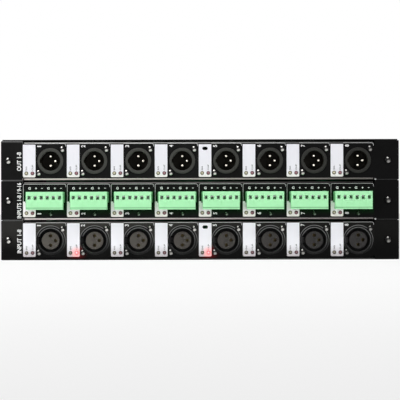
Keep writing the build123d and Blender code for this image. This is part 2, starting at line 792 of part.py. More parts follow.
def latch_pins():
    return together(
        rod_z(
            LATCH_PIN_R, x - LATCH_PIVOT_OUT, LATCH_PIVOT_DEPTH,
            z - LATCH_PIN_HALF, z + LATCH_PIN_HALF,
        )
        for x, z in socket_places(INPUT_ROW)
    )


def latch_springs():
    springs = []
    inside = LATCH_PIN_R + THREAD_GAP
    for x, z in socket_places(INPUT_ROW):
        hub_x = x - LATCH_PIVOT_OUT
        high = z + LATCH_HALF - SPRING_GAP
        low = high - SPRING_L
        coil = rod_z(inside + SPRING_WALL, hub_x, LATCH_PIVOT_DEPTH, low, high)
        coil -= rod_z(inside, hub_x, LATCH_PIVOT_DEPTH, low, high)
        coil += block(
            hub_x + inside, x - LATCH_SLOT_FLOOR, LATCH_PIVOT_DEPTH - SPRING_WALL / 2,
            LATCH_PIVOT_DEPTH + SPRING_WALL / 2, low, low + SPRING_WALL,
        )
        springs.append(coil)
    return together(springs)


# ---------------------------------------------------------------- terminals
def pole_xs(x):
    return [x + (k - (POLES - 1) / 2) * POLE_PITCH for k in range(POLES)]


def terminal_header(left):
    """The shroud that a plug pushes into, with a foot on the card and a lug behind the front."""
    x, z = header_place(left)
    half_w, half_h = HEADER_WIDTH / 2, HEADER_HEIGHT / 2
    card = row_low(TERMINAL_ROW) + CARD_TOP_UP
    shroud = block(x - half_w, x + half_w, -HEADER_PROUD, HEADER_DEPTH, z - half_h, z + half_h)
    foot_left = left + LAMP_RIGHT + HOLDER_WIDTH / 2 + HEADER_FOOT_GAP
    shroud += block(
        foot_left, x + half_w, HEADER_DEPTH - HEADER_FOOT_T, HEADER_DEPTH, card, z + half_h
    )
    lug_x, half_lug = left + LUG_X, LUG_WIDTH / 2
    shroud += block(
        lug_x - half_lug, lug_x + half_lug, FRONT_T, HEADER_DEPTH, card, z - half_h
    )
    in_w, in_h = half_w - HEADER_WALL, half_h - HEADER_WALL
    shroud -= block(x - in_w, x + in_w, -HEADER_PROUD, HEADER_CAVITY_DEPTH, z - in_h, z + in_h)
    half_pin = HEADER_PIN / 2 + PIN_GAP
    for px in pole_xs(x):
        shroud -= block(
            px - half_pin, px + half_pin, HEADER_CAVITY_DEPTH, HEADER_DEPTH,
            z - half_pin, z + half_pin,
        )
    lug_z = row_high(TERMINAL_ROW) - LUG_SCREW_DOWN
    shroud -= rod_y(LUG_SCREW_R + THREAD_GAP, lug_x, lug_z, 0, SOCKET_SCREW_LENGTH + 1)
    return shroud


def header_pins():
    pins = []
    half = HEADER_PIN / 2
    foot = row_low(TERMINAL_ROW) + CARD_LOW_UP - LEG_PAST_CARD
    for left in cells():
        x, z = header_place(left)
        for px in pole_xs(x):
            pin = block(px - half, px + half, HEADER_PIN_FRONT, HEADER_PIN_BACK, z - half, z + half)
            back = HEADER_PIN_BACK
            pin += block(px - half, px + half, back - HEADER_PIN, back, foot, z + half)
            pins.append(pin)
    return together(pins)


def plug_faces():
    """Top, bottom, front and back of a plug's body."""
    top = row_high(TERMINAL_ROW) - PLUG_DOWN
    return top, top - PLUG_HEIGHT, -PLUG_PROUD, -PLUG_BACK_GAP


def clamp_frame():
    """Front, back, top and bottom of a wire cage."""
    top, bottom, front, back = plug_faces()
    entry_z = top - ENTRY_DOWN
    cage_front = front + CAGE_FROM_FRONT
    return cage_front, cage_front + CAGE_DEPTH, entry_z + CAGE_UP, entry_z - CAGE_DOWN


def terminal_plug(left):
    x, header_z = header_place(left)
    top, bottom, front, back = plug_faces()
    half = PLUG_WIDTH / 2
    plug = block(x - half, x + half, front, back, bottom, top)
    plug = fillet(plug.edges().filter_by(lambda e: e.center().Y < front + 0.1), PLUG_EDGE)
    nose_w, nose_h = NOSE_WIDTH / 2, NOSE_HEIGHT / 2
    plug += block(
        x - nose_w, x + nose_w, back, NOSE_LENGTH, header_z - nose_h, header_z + nose_h
    )
    cage_front, cage_back, cage_top, cage_low = clamp_frame()
    entry_z = top - ENTRY_DOWN
    gap = CAGE_GAP
    half_cage = CAGE_WIDTH / 2 + gap
    head_top = bottom + CLAMP_HEAD_UP + CLAMP_HEAD_H + gap
    tools = [
        block(
            x - half + GROOVE, x + half - GROOVE, front, front + GROOVE,
            bottom + LEDGE_UP, bottom + LEDGE_UP + GROOVE,
        )
    ]
    half_pin = HEADER_PIN / 2 + PIN_SLOT_GAP
    for px in pole_xs(x):
        tools.append(
            block(
                px - ENTRY_WIDTH / 2, px + ENTRY_WIDTH / 2, front, cage_front,
                entry_z - ENTRY_HEIGHT / 2, entry_z + ENTRY_HEIGHT / 2,
            )
        )
        tools.append(
            block(
                px - half_cage, px + half_cage, cage_front - gap, cage_back + gap,
                cage_low - gap, cage_top + gap,
            )
        )
        clamp_y = (cage_front + cage_back) / 2
        tools.append(rod_z(CLAMP_SCREW_R + gap, px, clamp_y, bottom, cage_low))
        tools.append(rod_z(CLAMP_HEAD_R + CLAMP_HEAD_GAP, px, clamp_y, bottom, head_top))
        tools.append(
            block(
                px - half_pin - BLADE_T - BLADE_GAP, px + half_pin, cage_back, NOSE_LENGTH,
                header_z - half_pin - BLADE_GAP, header_z + half_pin + BLADE_GAP,
            )
        )
    for k in range(1, POLES):
        edge = x - half + PLUG_SIDE + k * POLE_PITCH
        tools.append(
            block(
                edge - GROOVE / 2, edge + GROOVE / 2, front, front + GROOVE,
                bottom + LEDGE_UP + GROOVE, entry_z - ENTRY_HEIGHT / 2 - 1,
            )
        )
    return plug - tools


def terminal_clamps(left):
    """For each pole: a wire cage, its screw from below and the blade that grips the header's pin."""
    x, header_z = header_place(left)
    top, bottom, front, back = plug_faces()
    cage_front, cage_back, cage_top, cage_low = clamp_frame()
    clamp_y = (cage_front + cage_back) / 2
    half = CAGE_WIDTH / 2
    head_low = bottom + CLAMP_HEAD_UP
    half_pin = HEADER_PIN / 2 + PIN_SLOT_GAP
    pieces = []
    for px in pole_xs(x):
        cage = block(px - half, px + half, cage_front, cage_back, cage_low, cage_top)
        cage -= block(
            px - half + CAGE_WALL, px + half - CAGE_WALL, cage_front, cage_back,
            cage_low + 2 * CAGE_WALL, cage_top - CAGE_WALL,
        )
        cage -= rod_z(CLAMP_SCREW_R + THREAD_GAP, px, clamp_y, cage_low, cage_low + 2 * CAGE_WALL)
        cage += block(
            px - half_pin - BLADE_T, px - half_pin, cage_back, NOSE_LENGTH - 1,
            header_z - BLADE_HALF, header_z + BLADE_HALF,
        )
        screw = rod_z(CLAMP_SCREW_R, px, clamp_y, head_low, cage_low + 2 * CAGE_WALL)
        screw += rod_z(CLAMP_HEAD_R, px, clamp_y, head_low, head_low + CLAMP_HEAD_H)
        screw -= block(
            px - RECESS_WIDTH / 2, px + RECESS_WIDTH / 2, clamp_y - CLAMP_HEAD_R,
            clamp_y + CLAMP_HEAD_R, head_low, head_low + CLAMP_HEAD_H / 2,
        )
        pieces += [cage, screw]
    return together(pieces)


# ---------------------------------------------------------------- lamps and strips
def lamp(x, z, row):
    body = rod_y(LAMP_R, x, z, LAMP_R - LAMP_PROUD, LAMP_RIM_FRONT)
    body += Pos(x, LAMP_R - LAMP_PROUD, z) * Sphere(LAMP_R)
    body += rod_y(LAMP_RIM_R, x, z, LAMP_RIM_FRONT, LAMP_RIM_BACK)
    half = LAMP_LEAD / 2
    foot = row_low(row) + CARD_LOW_UP - LEG_PAST_CARD
    for side in (-1, 1):
        lead_x = x + side * LAMP_LEAD_SPACING / 2
        y = LAMP_LEAD_DOWN_Y
        body += block(lead_x - half, lead_x + half, LAMP_RIM_BACK, y + half, z - half, z + half)
        body += block(lead_x - half, lead_x + half, y - half, y + half, foot, z + half)
    return body


def lamps(offset):
    """One lamp in every channel of every row, at an offset from the channel's left edge."""
    found = []
    for row in range(ROWS):
        z = row_high(row) - LAMP_DOWN
        found += [lamp(left + offset, z, row) for left in cells()]
    return together(found)


def lamp_holder(x, z, row):
    card = row_low(row) + CARD_TOP_UP
    half = HOLDER_WIDTH / 2
    holder = block(x - half, x + half, HOLDER_FRONT, HOLDER_BACK, card, card + HOLDER_HEIGHT)
    gap = LAMP_HOLE_GAP
    holder -= rod_y(LAMP_R + gap, x, z, HOLDER_FRONT, LAMP_RIM_FRONT)
    holder -= rod_y(LAMP_RIM_R + gap / 2, x, z, LAMP_RIM_FRONT, LAMP_RIM_BACK + gap)
    lead = (LAMP_LEAD_SPACING + LAMP_LEAD) / 2 + gap
    tall = LAMP_LEAD / 2 + gap
    back = LAMP_LEAD_DOWN_Y + tall
    holder -= block(x - lead, x + lead, LAMP_RIM_BACK, back, z - tall, z + tall)
    holder -= block(x - lead, x + lead, LAMP_LEAD_DOWN_Y - tall, back, card, z + tall)
    return holder


def lamp_holders():
    return together(
        lamp_holder(x, z, row) for row in range(ROWS) for x, z in lamp_places(row)
    )


def label_strip(left, row):
    top = row_high(row) - (STRIP_SHORT_DOWN if row == TERMINAL_ROW else STRIP_DOWN)
    low = row_high(row) - STRIP_DOWN - STRIP_HEIGHT
    strip = block(left, left + STRIP_WIDTH, -STRIP_T, 0, low, top)
    strip = rounded(strip, Axis.Y, STRIP_CORNER, lambda e: e.center().Z < low + 1)
    for offset in (LAMP_LEFT, LAMP_RIGHT):
        strip -= rod_y(
            LAMP_R + LAMP_HOLE_GAP, left + offset, row_high(row) - LAMP_DOWN, -STRIP_T, 0
        )
    if row == TERMINAL_ROW:
        x, z = header_place(left)
        clear = HEADER_HOLE_GAP + STRIP_GAP
        strip -= block(
            x - HEADER_WIDTH / 2 - clear, x, -STRIP_T, 0, z - HEADER_HEIGHT / 2 - clear, top
        )
    elif left == cell_left(ACCESS_CHANNEL - 1):
        strip -= access_slot(row, -STRIP_T, 0)
    return strip


def label_strips():
    return together(label_strip(left, row) for row in range(ROWS) for left in cells())


# ---------------------------------------------------------------- cards and backplane
def leg_holes(row):
    """Holes through a card for the legs of its connectors and lamps."""
    low = row_low(row) + CARD_LOW_UP - 1
    high = low + CARD_T + 2
    holes = []
    for x, _ in lamp_places(row):
        for side in (-1, 1):
            lead_x = x + side * LAMP_LEAD_SPACING / 2
            holes.append(rod_z(LAMP_LEAD, lead_x, LAMP_LEAD_DOWN_Y, low, high))
    if row == TERMINAL_ROW:
        for left in cells():
            for px in pole_xs(left + PLUG_X):
                y = HEADER_PIN_BACK - HEADER_PIN / 2
                holes.append(rod_z(LEG_HOLE_R, px, y, low, high))
        return holes
    depth = OUT_BODY_DEPTH if row == OUTPUT_ROW else IN_BODY_DEPTH
    for x, z in socket_places(row):
        for (px, _), y in zip(pin_places(x, z), legs_behind(depth)):
            holes.append(rod_z(LEG_HOLE_R, px, y, low, high))
    return holes


def card(row):
    low = row_low(row) + CARD_LOW_UP
    board = block(-CARD_HALF, CARD_HALF, CARD_FRONT, CARD_BACK, low, low + CARD_T)
    board = rounded(board, Axis.Z, CARD_CORNER)
    return board - leg_holes(row)


def guide_peg_z(row):
    return row_low(row) + CARD_LOW_UP + (GUIDE_WEB_UP + GUIDE_ABOVE) / 2


def card_guide(side, row):
    """A rail on a side plate, its groove round the card's edge and its lower lip inside the flange."""
    wall = (CASE_HALF - SIDE_T) * side
    hook_out = (CARD_HALF + GUIDE_CLEAR + GUIDE_HOOK) * side
    reach = (CARD_HALF - GUIDE_COVERS) * side
    low = row_low(row) + CARD_LOW_UP
    top = low + GUIDE_ABOVE
    rail = block(wall, reach, GUIDE_FRONT, GUIDE_BACK, low + GUIDE_WEB_UP, top)
    rail += block(hook_out, reach, GUIDE_FRONT, GUIDE_BACK, low - GUIDE_LIP, top)
    rail -= block(
        (CARD_HALF + GUIDE_CLEAR) * side, reach, GUIDE_FRONT, GUIDE_BACK,
        low - GUIDE_CLEAR / 3, low + CARD_T + GUIDE_CLEAR / 3,
    )
    for y in GUIDE_PEGS:
        rail += rod_x(GUIDE_PEG_R, y, guide_peg_z(row), wall, CASE_HALF * side)
    return rail


def card_guides():
    return together(card_guide(side, row) for side in (-1, 1) for row in range(ROWS))


def edge_centre_z(row):
    return row_low(row) + CARD_TOP_UP + EDGE_PLUG_HEIGHT / 2


def edge_plugs():
    plugs = []
    for row in range(ROWS):
        z = edge_centre_z(row)
        half_h, tongue = EDGE_PLUG_HEIGHT / 2, EDGE_TONGUE_HEIGHT / 2
        for side in (-1, 1):
            x = EDGE_PLUG_X * side
            plug = block(
                x - EDGE_PLUG_HALF, x + EDGE_PLUG_HALF, EDGE_PLUG_FRONT, EDGE_PLUG_BACK,
                z - half_h, z + half_h,
            )
            plug += block(
                x - EDGE_TONGUE_HALF, x + EDGE_TONGUE_HALF, EDGE_PLUG_BACK,
                EDGE_PLUG_BACK + EDGE_TONGUE_LENGTH, z - tongue, z + tongue,
            )
            plugs.append(plug)
    return together(plugs)


def backplane_sockets():
    sockets = []
    front = BACKPLANE_FRONT - EDGE_SOCKET_DEPTH
    for row in range(ROWS):
        z = edge_centre_z(row)
        half_h, cavity = EDGE_PLUG_HEIGHT / 2, EDGE_TONGUE_HEIGHT / 2 + EDGE_GAP
        half_w = EDGE_TONGUE_HALF + EDGE_GAP
        for side in (-1, 1):
            x = EDGE_PLUG_X * side
            socket = block(
                x - EDGE_PLUG_HALF, x + EDGE_PLUG_HALF, front, BACKPLANE_FRONT,
                z - half_h, z + half_h,
            )
            socket -= block(
                x - half_w, x + half_w, front, EDGE_PLUG_BACK + EDGE_TONGUE_LENGTH + EDGE_GAP,
                z - cavity, z + cavity,
            )
            sockets.append(socket)
    return together(sockets)


def standoff_places():
    return [(x, z) for x in STANDOFF_XS for z in STANDOFF_ZS]


def backplane_board():
    board = block(
        -BACKPLANE_HALF, BACKPLANE_HALF, BACKPLANE_FRONT, BACKPLANE_BACK,
        BACKPLANE_LOW, BACKPLANE_HIGH,
    )
    tools = [
        rod_y(STUD_R + THREAD_GAP, x, z, BACKPLANE_FRONT, BACKPLANE_BACK)
        for x, z in standoff_places()
    ]
    return board - tools


def standoffs():
    """Posts between the backplane and the rear panel, their studs riveted in the backplane."""
    posts = []
    for x, z in standoff_places():
        post = rod_y(STANDOFF_R, x, z, BACKPLANE_BACK, REAR_INSIDE)
        post += rod_y(STUD_R, x, z, BACKPLANE_FRONT, BACKPLANE_BACK)
        post -= rod_y(M3_R + THREAD_GAP, x, z, REAR_INSIDE - M3_LENGTH - 1, REAR_INSIDE)
        posts.append(post)
    return together(posts)


def chip(x, y, card_top):
    body = block(
        x - CHIP_L / 2, x + CHIP_L / 2, y - CHIP_W / 3, y + CHIP_W / 3,
        card_top + CHIP_UNDER, card_top + CHIP_H,
    )
    for k in range(CHIP_LEADS):
        lead_x = x + (k - (CHIP_LEADS - 1) / 2) * CHIP_LEAD_PITCH
        body += block(
            lead_x - CHIP_LEAD / 2, lead_x + CHIP_LEAD / 2, y - CHIP_W / 2, y + CHIP_W / 2,
            card_top, card_top + CHIP_LEAD,
        )
    return body


def chips():
    return together(
        chip(left + CELL_WIDTH / 2, CHIP_Y, row_low(row) + CARD_TOP_UP)
        for row in range(ROWS)
        for left in cells()
    )


def capacitor(x, y, card_top):
    can = rod_z(CAP_R, x, y, card_top, card_top + CAP_H)
    return fillet(can.faces().sort_by(Axis.Z)[-1].edges(), CAP_EDGE)


def capacitors():
    return together(
        capacitor(left + CELL_WIDTH / 2, CAP_Y, row_low(row) + CARD_TOP_UP)
        for row in range(ROWS)
        for left in cells()
    )


# ---------------------------------------------------------------- rear multiway sockets
def multiway_socket(x, z):
    half_w, half_h = MULTIWAY_FLANGE_W / 2, MULTIWAY_FLANGE_H / 2
    flange_front = REAR_INSIDE - MULTIWAY_FLANGE_T
    socket = block(x - half_w, x + half_w, flange_front, REAR_INSIDE, z - half_h, z + half_h)
    socket = rounded(socket, Axis.Y, MULTIWAY_FLANGE_T)
    socket += d_outline(
        MULTIWAY_SHELL_W, MULTIWAY_SHELL_H, 0, x, z, REAR_INSIDE, REAR_INSIDE + MULTIWAY_SHELL_OUT
    )
    body_w, body_h = MULTIWAY_BODY_W / 2, MULTIWAY_BODY_H / 2
    socket += block(
        x - body_w, x + body_w, BACKPLANE_BACK, flange_front, z - body_h, z + body_h
    )
    face = REAR_INSIDE + MULTIWAY_SHELL_OUT
    tools = []
    for count, side in MULTIWAY_CONTACTS:
        for k in range(count):
            hole_x = x + (k - (count - 1) / 2) * MULTIWAY_PITCH
            hole_z = z + side * MULTIWAY_ROW_GAP / 2
            tools.append(
                rod_y(MULTIWAY_CONTACT_R, hole_x, hole_z, face - MULTIWAY_CONTACT_DEPTH, face)
            )
    for side in (-1, 1):
        tools.append(
            rod_y(
                JACK_STUD_R + THREAD_GAP, x + side * JACK_SPACING / 2, z,
                flange_front - 1, REAR_INSIDE,
            )
        )
    return socket - tools


def jackscrew(x, z):
    face = CASE_BACK
    profile = Plane((x, face, z), x_dir=(1, 0, 0), z_dir=(0, 1, 0)) * RegularPolygon(
        JACK_HEX / 2, 6, major_radius=False
    )
    screw = extrude(profile, amount=JACK_LENGTH)
    screw += rod_y(JACK_STUD_R, x, z, face - JACK_STUD_LENGTH, face)
    return screw - rod_y(
        JACK_BORE_R, x, z, face + JACK_LENGTH - JACK_BORE_DEPTH, face + JACK_LENGTH
    )


# ---------------------------------------------------------------- write every piece
def main():
    os.makedirs("parts", exist_ok=True)
    save("output_panel", socket_front(OUTPUT_ROW, OUT_RING_R + OUT_HOLE_GAP))
    save("terminal_panel", terminal_front())
    save("input_panel", socket_front(INPUT_ROW, IN_HOLE_R))
    save("side_plate_left", side_plate(-1))
    save("side_plate_right", side_plate(1))
    save("top_cover", cover(INNER_HIGH))
    save("bottom_cover", cover(0))
    save("rear_panel", rear_panel())
    save("case_screws", case_screws())
    save("panel_screws", panel_screws())
    save("socket_screws", socket_screws())

    save("output_socket_shells", together(output_shell(*at) for at in socket_places(OUTPUT_ROW)))
    save("output_socket_pins", output_pins())
    save("input_socket_shells", together(input_shell(*at) for at in socket_places(INPUT_ROW)))
    inserts = [piece for at in socket_places(INPUT_ROW) for piece in input_insert(*at)]
    save("input_socket_inserts", together(inserts))
    save("input_socket_contacts", input_contacts())
    save("latch_pivot_pins", latch_pins())
    save("latch_springs", latch_springs())
    for number, (x, z) in enumerate(socket_places(INPUT_ROW), start=1):
        save(f"input_latch_{number}", input_latch(x, z))

    save("terminal_headers", together(terminal_header(left) for left in cells()))
    save("terminal_header_pins", header_pins())
    for number, left in enumerate(cells(), start=1):
        save(f"terminal_plug_{number}", terminal_plug(left))
        save(f"terminal_clamps_{number}", terminal_clamps(left))

    save("signal_leds", lamps(LAMP_LEFT))
    save("peak_leds", lamps(LAMP_RIGHT))
    save("led_holders", lamp_holders())
    save("label_strips", label_strips())

    save("output_board", card(OUTPUT_ROW))
    save("terminal_board", card(TERMINAL_ROW))
    save("input_board", card(INPUT_ROW))
    save("card_guides", card_guides())
    save("board_edge_plugs", edge_plugs())
    save("backplane_sockets", backplane_sockets())
    save("backplane_board", backplane_board())
    save("backplane_standoffs", standoffs())
    save("board_chips", chips())
    save("board_capacitors", capacitors())
    save("multiway_sockets", together(multiway_socket(*at) for at in multiway_places()))
    save("jackscrews", together(jackscrew(*at) for at in jack_places()))


main()
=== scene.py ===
import math
import random

import bpy
from mathutils import Matrix, Vector


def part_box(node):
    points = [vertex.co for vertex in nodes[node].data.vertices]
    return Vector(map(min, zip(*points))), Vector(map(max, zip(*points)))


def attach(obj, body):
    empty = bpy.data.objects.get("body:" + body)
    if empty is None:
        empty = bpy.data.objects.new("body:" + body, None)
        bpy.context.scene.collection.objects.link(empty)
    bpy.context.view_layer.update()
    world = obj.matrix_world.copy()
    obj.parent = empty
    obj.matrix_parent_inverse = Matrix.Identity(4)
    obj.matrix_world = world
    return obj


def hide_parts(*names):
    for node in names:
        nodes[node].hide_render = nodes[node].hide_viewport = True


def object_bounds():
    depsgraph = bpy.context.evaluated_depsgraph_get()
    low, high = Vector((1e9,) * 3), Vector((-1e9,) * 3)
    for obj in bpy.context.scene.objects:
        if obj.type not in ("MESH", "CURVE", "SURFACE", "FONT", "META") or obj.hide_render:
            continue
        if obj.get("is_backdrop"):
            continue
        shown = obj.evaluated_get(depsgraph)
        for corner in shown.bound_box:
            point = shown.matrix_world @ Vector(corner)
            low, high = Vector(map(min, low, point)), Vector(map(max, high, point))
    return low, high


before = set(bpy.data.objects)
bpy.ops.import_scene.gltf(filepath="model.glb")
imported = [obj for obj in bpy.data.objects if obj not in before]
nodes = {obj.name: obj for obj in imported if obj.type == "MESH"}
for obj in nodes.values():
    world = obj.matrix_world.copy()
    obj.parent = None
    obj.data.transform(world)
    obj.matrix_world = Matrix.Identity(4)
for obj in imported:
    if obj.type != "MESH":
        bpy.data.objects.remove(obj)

# The connector bay as it arrives: a steel case of three connector rows, eight channels to a row. Its
# solids are the frame that every piece below is fitted to, and what loading selected is let go.
MM = 0.001
CHANNELS = 8
ROWS = ("output", "terminal", "input")
EAR_GAP = 0.1 * MM
SOCKET_HALF = 12.5 * MM
bpy.ops.object.select_all(action="DESELECT")
cad_low, cad_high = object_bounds()
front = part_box("output_panel")[0].y
panel_left, panel_right = (corner.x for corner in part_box("output_panel"))
first_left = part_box("label_strips")[0].x
channel_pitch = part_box("terminal_plug_2")[0].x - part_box("terminal_plug_1")[0].x
channel_lefts = [first_left + channel_pitch * k for k in range(CHANNELS)]
bay_right = first_left + channel_pitch * CHANNELS
row_tops = {row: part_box(f"{row}_panel")[1].z + EAR_GAP for row in ROWS}
row_pitch = row_tops["output"] - row_tops["terminal"]
first_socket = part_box("output_socket_shells")[0].x + SOCKET_HALF
socket_z = {
    row: sum(corner.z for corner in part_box(f"{row}_socket_shells")) / 2 for row in ("output", "input")
}

# The studio: a white table in a pale room, a wide soft lamp above and one to each side, the left one the
# stronger. None of it belongs to the bay.
CAMERA_DISTANCE = 1.3
CAMERA_ASIDE = -0.018
CAMERA_DOWN = 0.3 * MM
CAMERA_ROLL = math.radians(0.15)
VIEW_WIDTH = 0.3358
ROOM_LIGHT = 0.12
TABLE_SIZE, TABLE_GLOW = 8, 0.72
LAMPS = (  # name, power, place past the middle of the front, width and height
    ("lamp_above", 5.2, (-0.06, -0.22, 0.8), (0.8, 0.35)),
    ("lamp_left", 4.4, (-0.75, -0.75, 0.35), (0.5, 0.5)),
    ("lamp_right", 2.4, (0.8, -0.75, 0.3), (0.5, 0.5)),
)

spot = (CAMERA_ASIDE, front - CAMERA_DISTANCE, (cad_low.z + cad_high.z) / 2)
bpy.ops.object.camera_add(location=spot, rotation=(math.pi / 2, CAMERA_ROLL, 0))
camera = bpy.context.object
camera.name = "camera"
camera.data.lens = camera.data.sensor_width * CAMERA_DISTANCE / VIEW_WIDTH
camera.data.shift_x = -CAMERA_ASIDE / VIEW_WIDTH
camera.data.shift_y = -CAMERA_DOWN / VIEW_WIDTH
bpy.context.scene.camera = camera
bpy.context.scene.view_settings.view_transform = "Standard"
for name, power, (x, y, z), size in LAMPS:
    place = Vector((x, front + y, z))
    bpy.ops.object.light_add(type="AREA", location=place)
    light = bpy.context.object
    light.name = name
    light.data.shape = "RECTANGLE"
    light.data.size, light.data.size_y = size
    light.data.energy = power
    aim = Vector((0, front, camera.location.z)) - place
    light.rotation_euler = aim.to_track_quat("-Z", "Z").to_euler()


class Value:
    """An output of a material's node. Sums written with it become Math nodes."""

    def __init__(self, finish, socket):
        self.finish = finish
        self.socket = socket

    def sum(self, operation, first, second):
        return self.finish.node("Math", {0: first, 1: second}, operation=operation)


for sign, operation in (("add", "ADD"), ("sub", "SUBTRACT"), ("mul", "MULTIPLY"), ("pow", "POWER")):
    setattr(Value, f"__{sign}__", lambda value, other, kind=operation: value.sum(kind, value, other))
    setattr(Value, f"__r{sign}__", lambda value, other, kind=operation: value.sum(kind, other, value))


class Finish:
    """A surface finish on a Principled shader, with its patterns laid out on Object coordinates."""

    def __init__(self, name, shine=0.5, **numbers):
        self.material = bpy.data.materials.new(name)
        self.material.use_nodes = True
        self.tree = self.material.node_tree
        self.shader = self.tree.nodes["Principled BSDF"]
        self.place = self.node("TexCoord", output="Object")
        self.tone = None
        self.show(Specular_IOR_Level=shine, **numbers)

    def node(self, kind, sockets=None, output=0, **settings):
        made = self.tree.nodes.new("ShaderNode" + kind)
        for setting, value in settings.items():
            setattr(made, setting, value)
        self.feed(made, sockets or {})
        return Value(self, made.outputs[output])

    def feed(self, made, sockets):
        """Link or set a node's sockets. A colour is three numbers, or one for a grey."""
        for name, value in sockets.items():
            socket = made.inputs[name]
            if isinstance(value, Value):
                self.tree.links.new(value.socket, socket)
            elif socket.type == "RGBA":
                socket.default_value = (*(value if isinstance(value, tuple) else [value] * 3), 1)
            else:
                socket.default_value = value

    def show(self, **sockets):
        """Feed the shader's own sockets, named with underscores for spaces."""
        self.feed(self.shader, {name.replace("_", " "): value for name, value in sockets.items()})

    def noise(self, scale, detail=2.0, stretch=(1, 1, 1)):
        place = self.node("Mapping", {"Vector": self.place, "Scale": stretch})
        return self.node("TexNoise", {"Vector": place, "Scale": scale, "Detail": detail})

    def along(self, axis):
        return self.node("SeparateXYZ", {"Vector": self.place}, axis)

    def from_mesh(self, name):
        return self.node("Attribute", output="Fac", attribute_name=name)

    def step(self, value, start, end):
        """Nothing up to a start, all of it past an end, and smooth between them."""
        sockets = {"Value": value, "From Min": start, "From Max": end}
        return self.node("MapRange", sockets, interpolation_type="SMOOTHSTEP")

    def rise(self, axis, start, end):
        return self.step(self.along(axis), start, end)

    def fall(self, axis, start, end):
        return 1 - self.rise(axis, start, end)

    def mix(self, share, first, second):
        return self.node("Mix", {0: share, 6: first, 7: second}, 2, data_type="RGBA")

    def lay(self, share, *tones):
        """Begin with two tones that a share blends, or lay one over what is there."""
        self.tone = self.mix(share, *(self.tone, *tones)[-2:])
        self.show(Base_Color=self.tone)

    def skin(self, roughness, relief, depth=0.01, strength=0.5):
        """A roughness, and a relief of a depth in millimetres."""
        bump = self.node("Bump", {"Height": relief, "Distance": depth * MM, "Strength": strength})
        self.show(Roughness=roughness, Normal=bump)

    def near(self, point, reach):
        """One at a point, falling to nothing at a distance from it."""
        away = self.node("VectorMath", {0: self.place, 1: point}, "Value", operation="DISTANCE")
        share = 1 - self.step(away, 0, reach)
        return share * share

    def band(self, value, start, end):
        """All of it between two values but for soft sides, nothing outside them."""
        side = (end - start) * 0.35
        return self.step(value, start, start + side) * (1 - self.step(value, end - side, end))

    def lit_rim(self, z, inner, outer):
        """A painted highlight in a ring round every socket of a row, where it would catch the light from
        above and from the right.
        """
        sockets = {0: self.along(0) - first_socket, 1: channel_pitch / 2}
        aside = self.node("Math", sockets, operation="PINGPONG")
        up = self.along(2) - z
        rim = self.band((aside * aside + up * up) ** 0.5, inner, outer)
        return rim * self.step(up, -outer, outer)


def seen_rays(tree):
    """One for the rays that meet the room straight on, in a mirror or through glass."""
    rays = tree.nodes.new("ShaderNodeLightPath")
    seen = rays.outputs["Is Camera Ray"]
    for name in ("Is Glossy Ray", "Is Transmission Ray"):
        either = tree.nodes.new("ShaderNodeMath")
        either.operation = "MAXIMUM"
        tree.links.new(seen, either.inputs[0])
        tree.links.new(rays.outputs[name], either.inputs[1])
        seen = either.outputs[0]
    return seen


white = Finish("table", 0.1, Roughness=0.9)
white.lay(white.noise(6), 0.88, 0.92)
share = Value(white, seen_rays(white.tree)) * TABLE_GLOW
own = Value(white, white.shader.outputs[0])
cover = white.node("MixShader", {0: share, 1: own, 2: white.node("Emission")})
white.feed(white.tree.nodes["Material Output"], {"Surface": cover})
bpy.ops.mesh.primitive_plane_add(size=TABLE_SIZE, location=(0, 0, cad_low.z))
table = bpy.context.object
table.name = "table"
table.data.materials.append(white.material)
table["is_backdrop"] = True

world = bpy.data.worlds.new("room")
world.use_nodes = True
bpy.context.scene.world = world
room = world.node_tree
brightness = room.nodes.new("ShaderNodeMapRange")
brightness.inputs["To Min"].default_value = ROOM_LIGHT
room.links.new(seen_rays(room), brightness.inputs["Value"])
background = room.nodes["Background"]
background.inputs["Color"].default_value = (1, 1, 1, 1)
room.links.new(brightness.outputs[0], background.inputs["Strength"])

# The three fronts: 1.2 mm steel, folded back along their top and bottom edges and powder-coated in a satin
# black, with highlights painted along the folds and the ears' edges. A screw through each ear holds them.


def mm(*lengths):
    """Lengths written in millimetres, and tuples of them, in the scene's unit."""
    return tuple(mm(*entry) if isinstance(entry, tuple) else entry * MM for entry in lengths)


def by_row(*values):
    """One value for each row, from the top row down."""
    return dict(zip(ROWS, values))


TOP_FOLD_HIGHLIGHT = mm(0.8, 2.7)  # the painted highlight on a fold, from its row's edge
LOW_FOLD_HIGHLIGHT = mm(0.2, 2.1)
# How far the painted highlights on the ears' edges reach.
EAR_EDGE_HIGHLIGHT, EAR_TOP_HIGHLIGHT = mm(0.9, 1.9)
FLICK_HIGHLIGHT = mm(0.5, 0.4, 1.7)  # a painted highlight: past the channels' end, above the row's foot, reach
PANEL_TONES = by_row(0.008, 0.007, 0.005)
FOLD_TOP_HIGHLIGHTS = by_row((0.36, 0.36, 0.35), (0.16, 0.155, 0.15), (0.17, 0.16, 0.16))
FOLD_FOOT_HIGHLIGHTS = {"output": (0.82, 0.70, 0.71), "terminal": (0.84, 0.76, 0.75)}
HOLE_RIM_HIGHLIGHT = mm(12.1, 12.7)
RIM_HIGHLIGHT = 0.26
SPILL = 12 * MM
LIT_CHANNELS = (2, 5)
LAMP_HALF, LAMP_DOWN = mm(1.85, 27.3)


def black_coat(name, shade, roughness, grain):
    """Powder coat: a pebbled skin whose black and whose gloss drift a little, its paler mottle faded towards
    the right as painted shade.
    """
    coat = Finish(name, 0.04)
    cloud = coat.noise(60, 3)
    shade_to_right = 1 - 0.8 * coat.rise(0, cad_low.x * 0.2, cad_high.x)
    coat.lay(cloud * shade_to_right, shade * 0.35, shade * 1.6)
    coat.skin(cloud * 0.12 + roughness, coat.noise(grain), 0.03)
    return coat


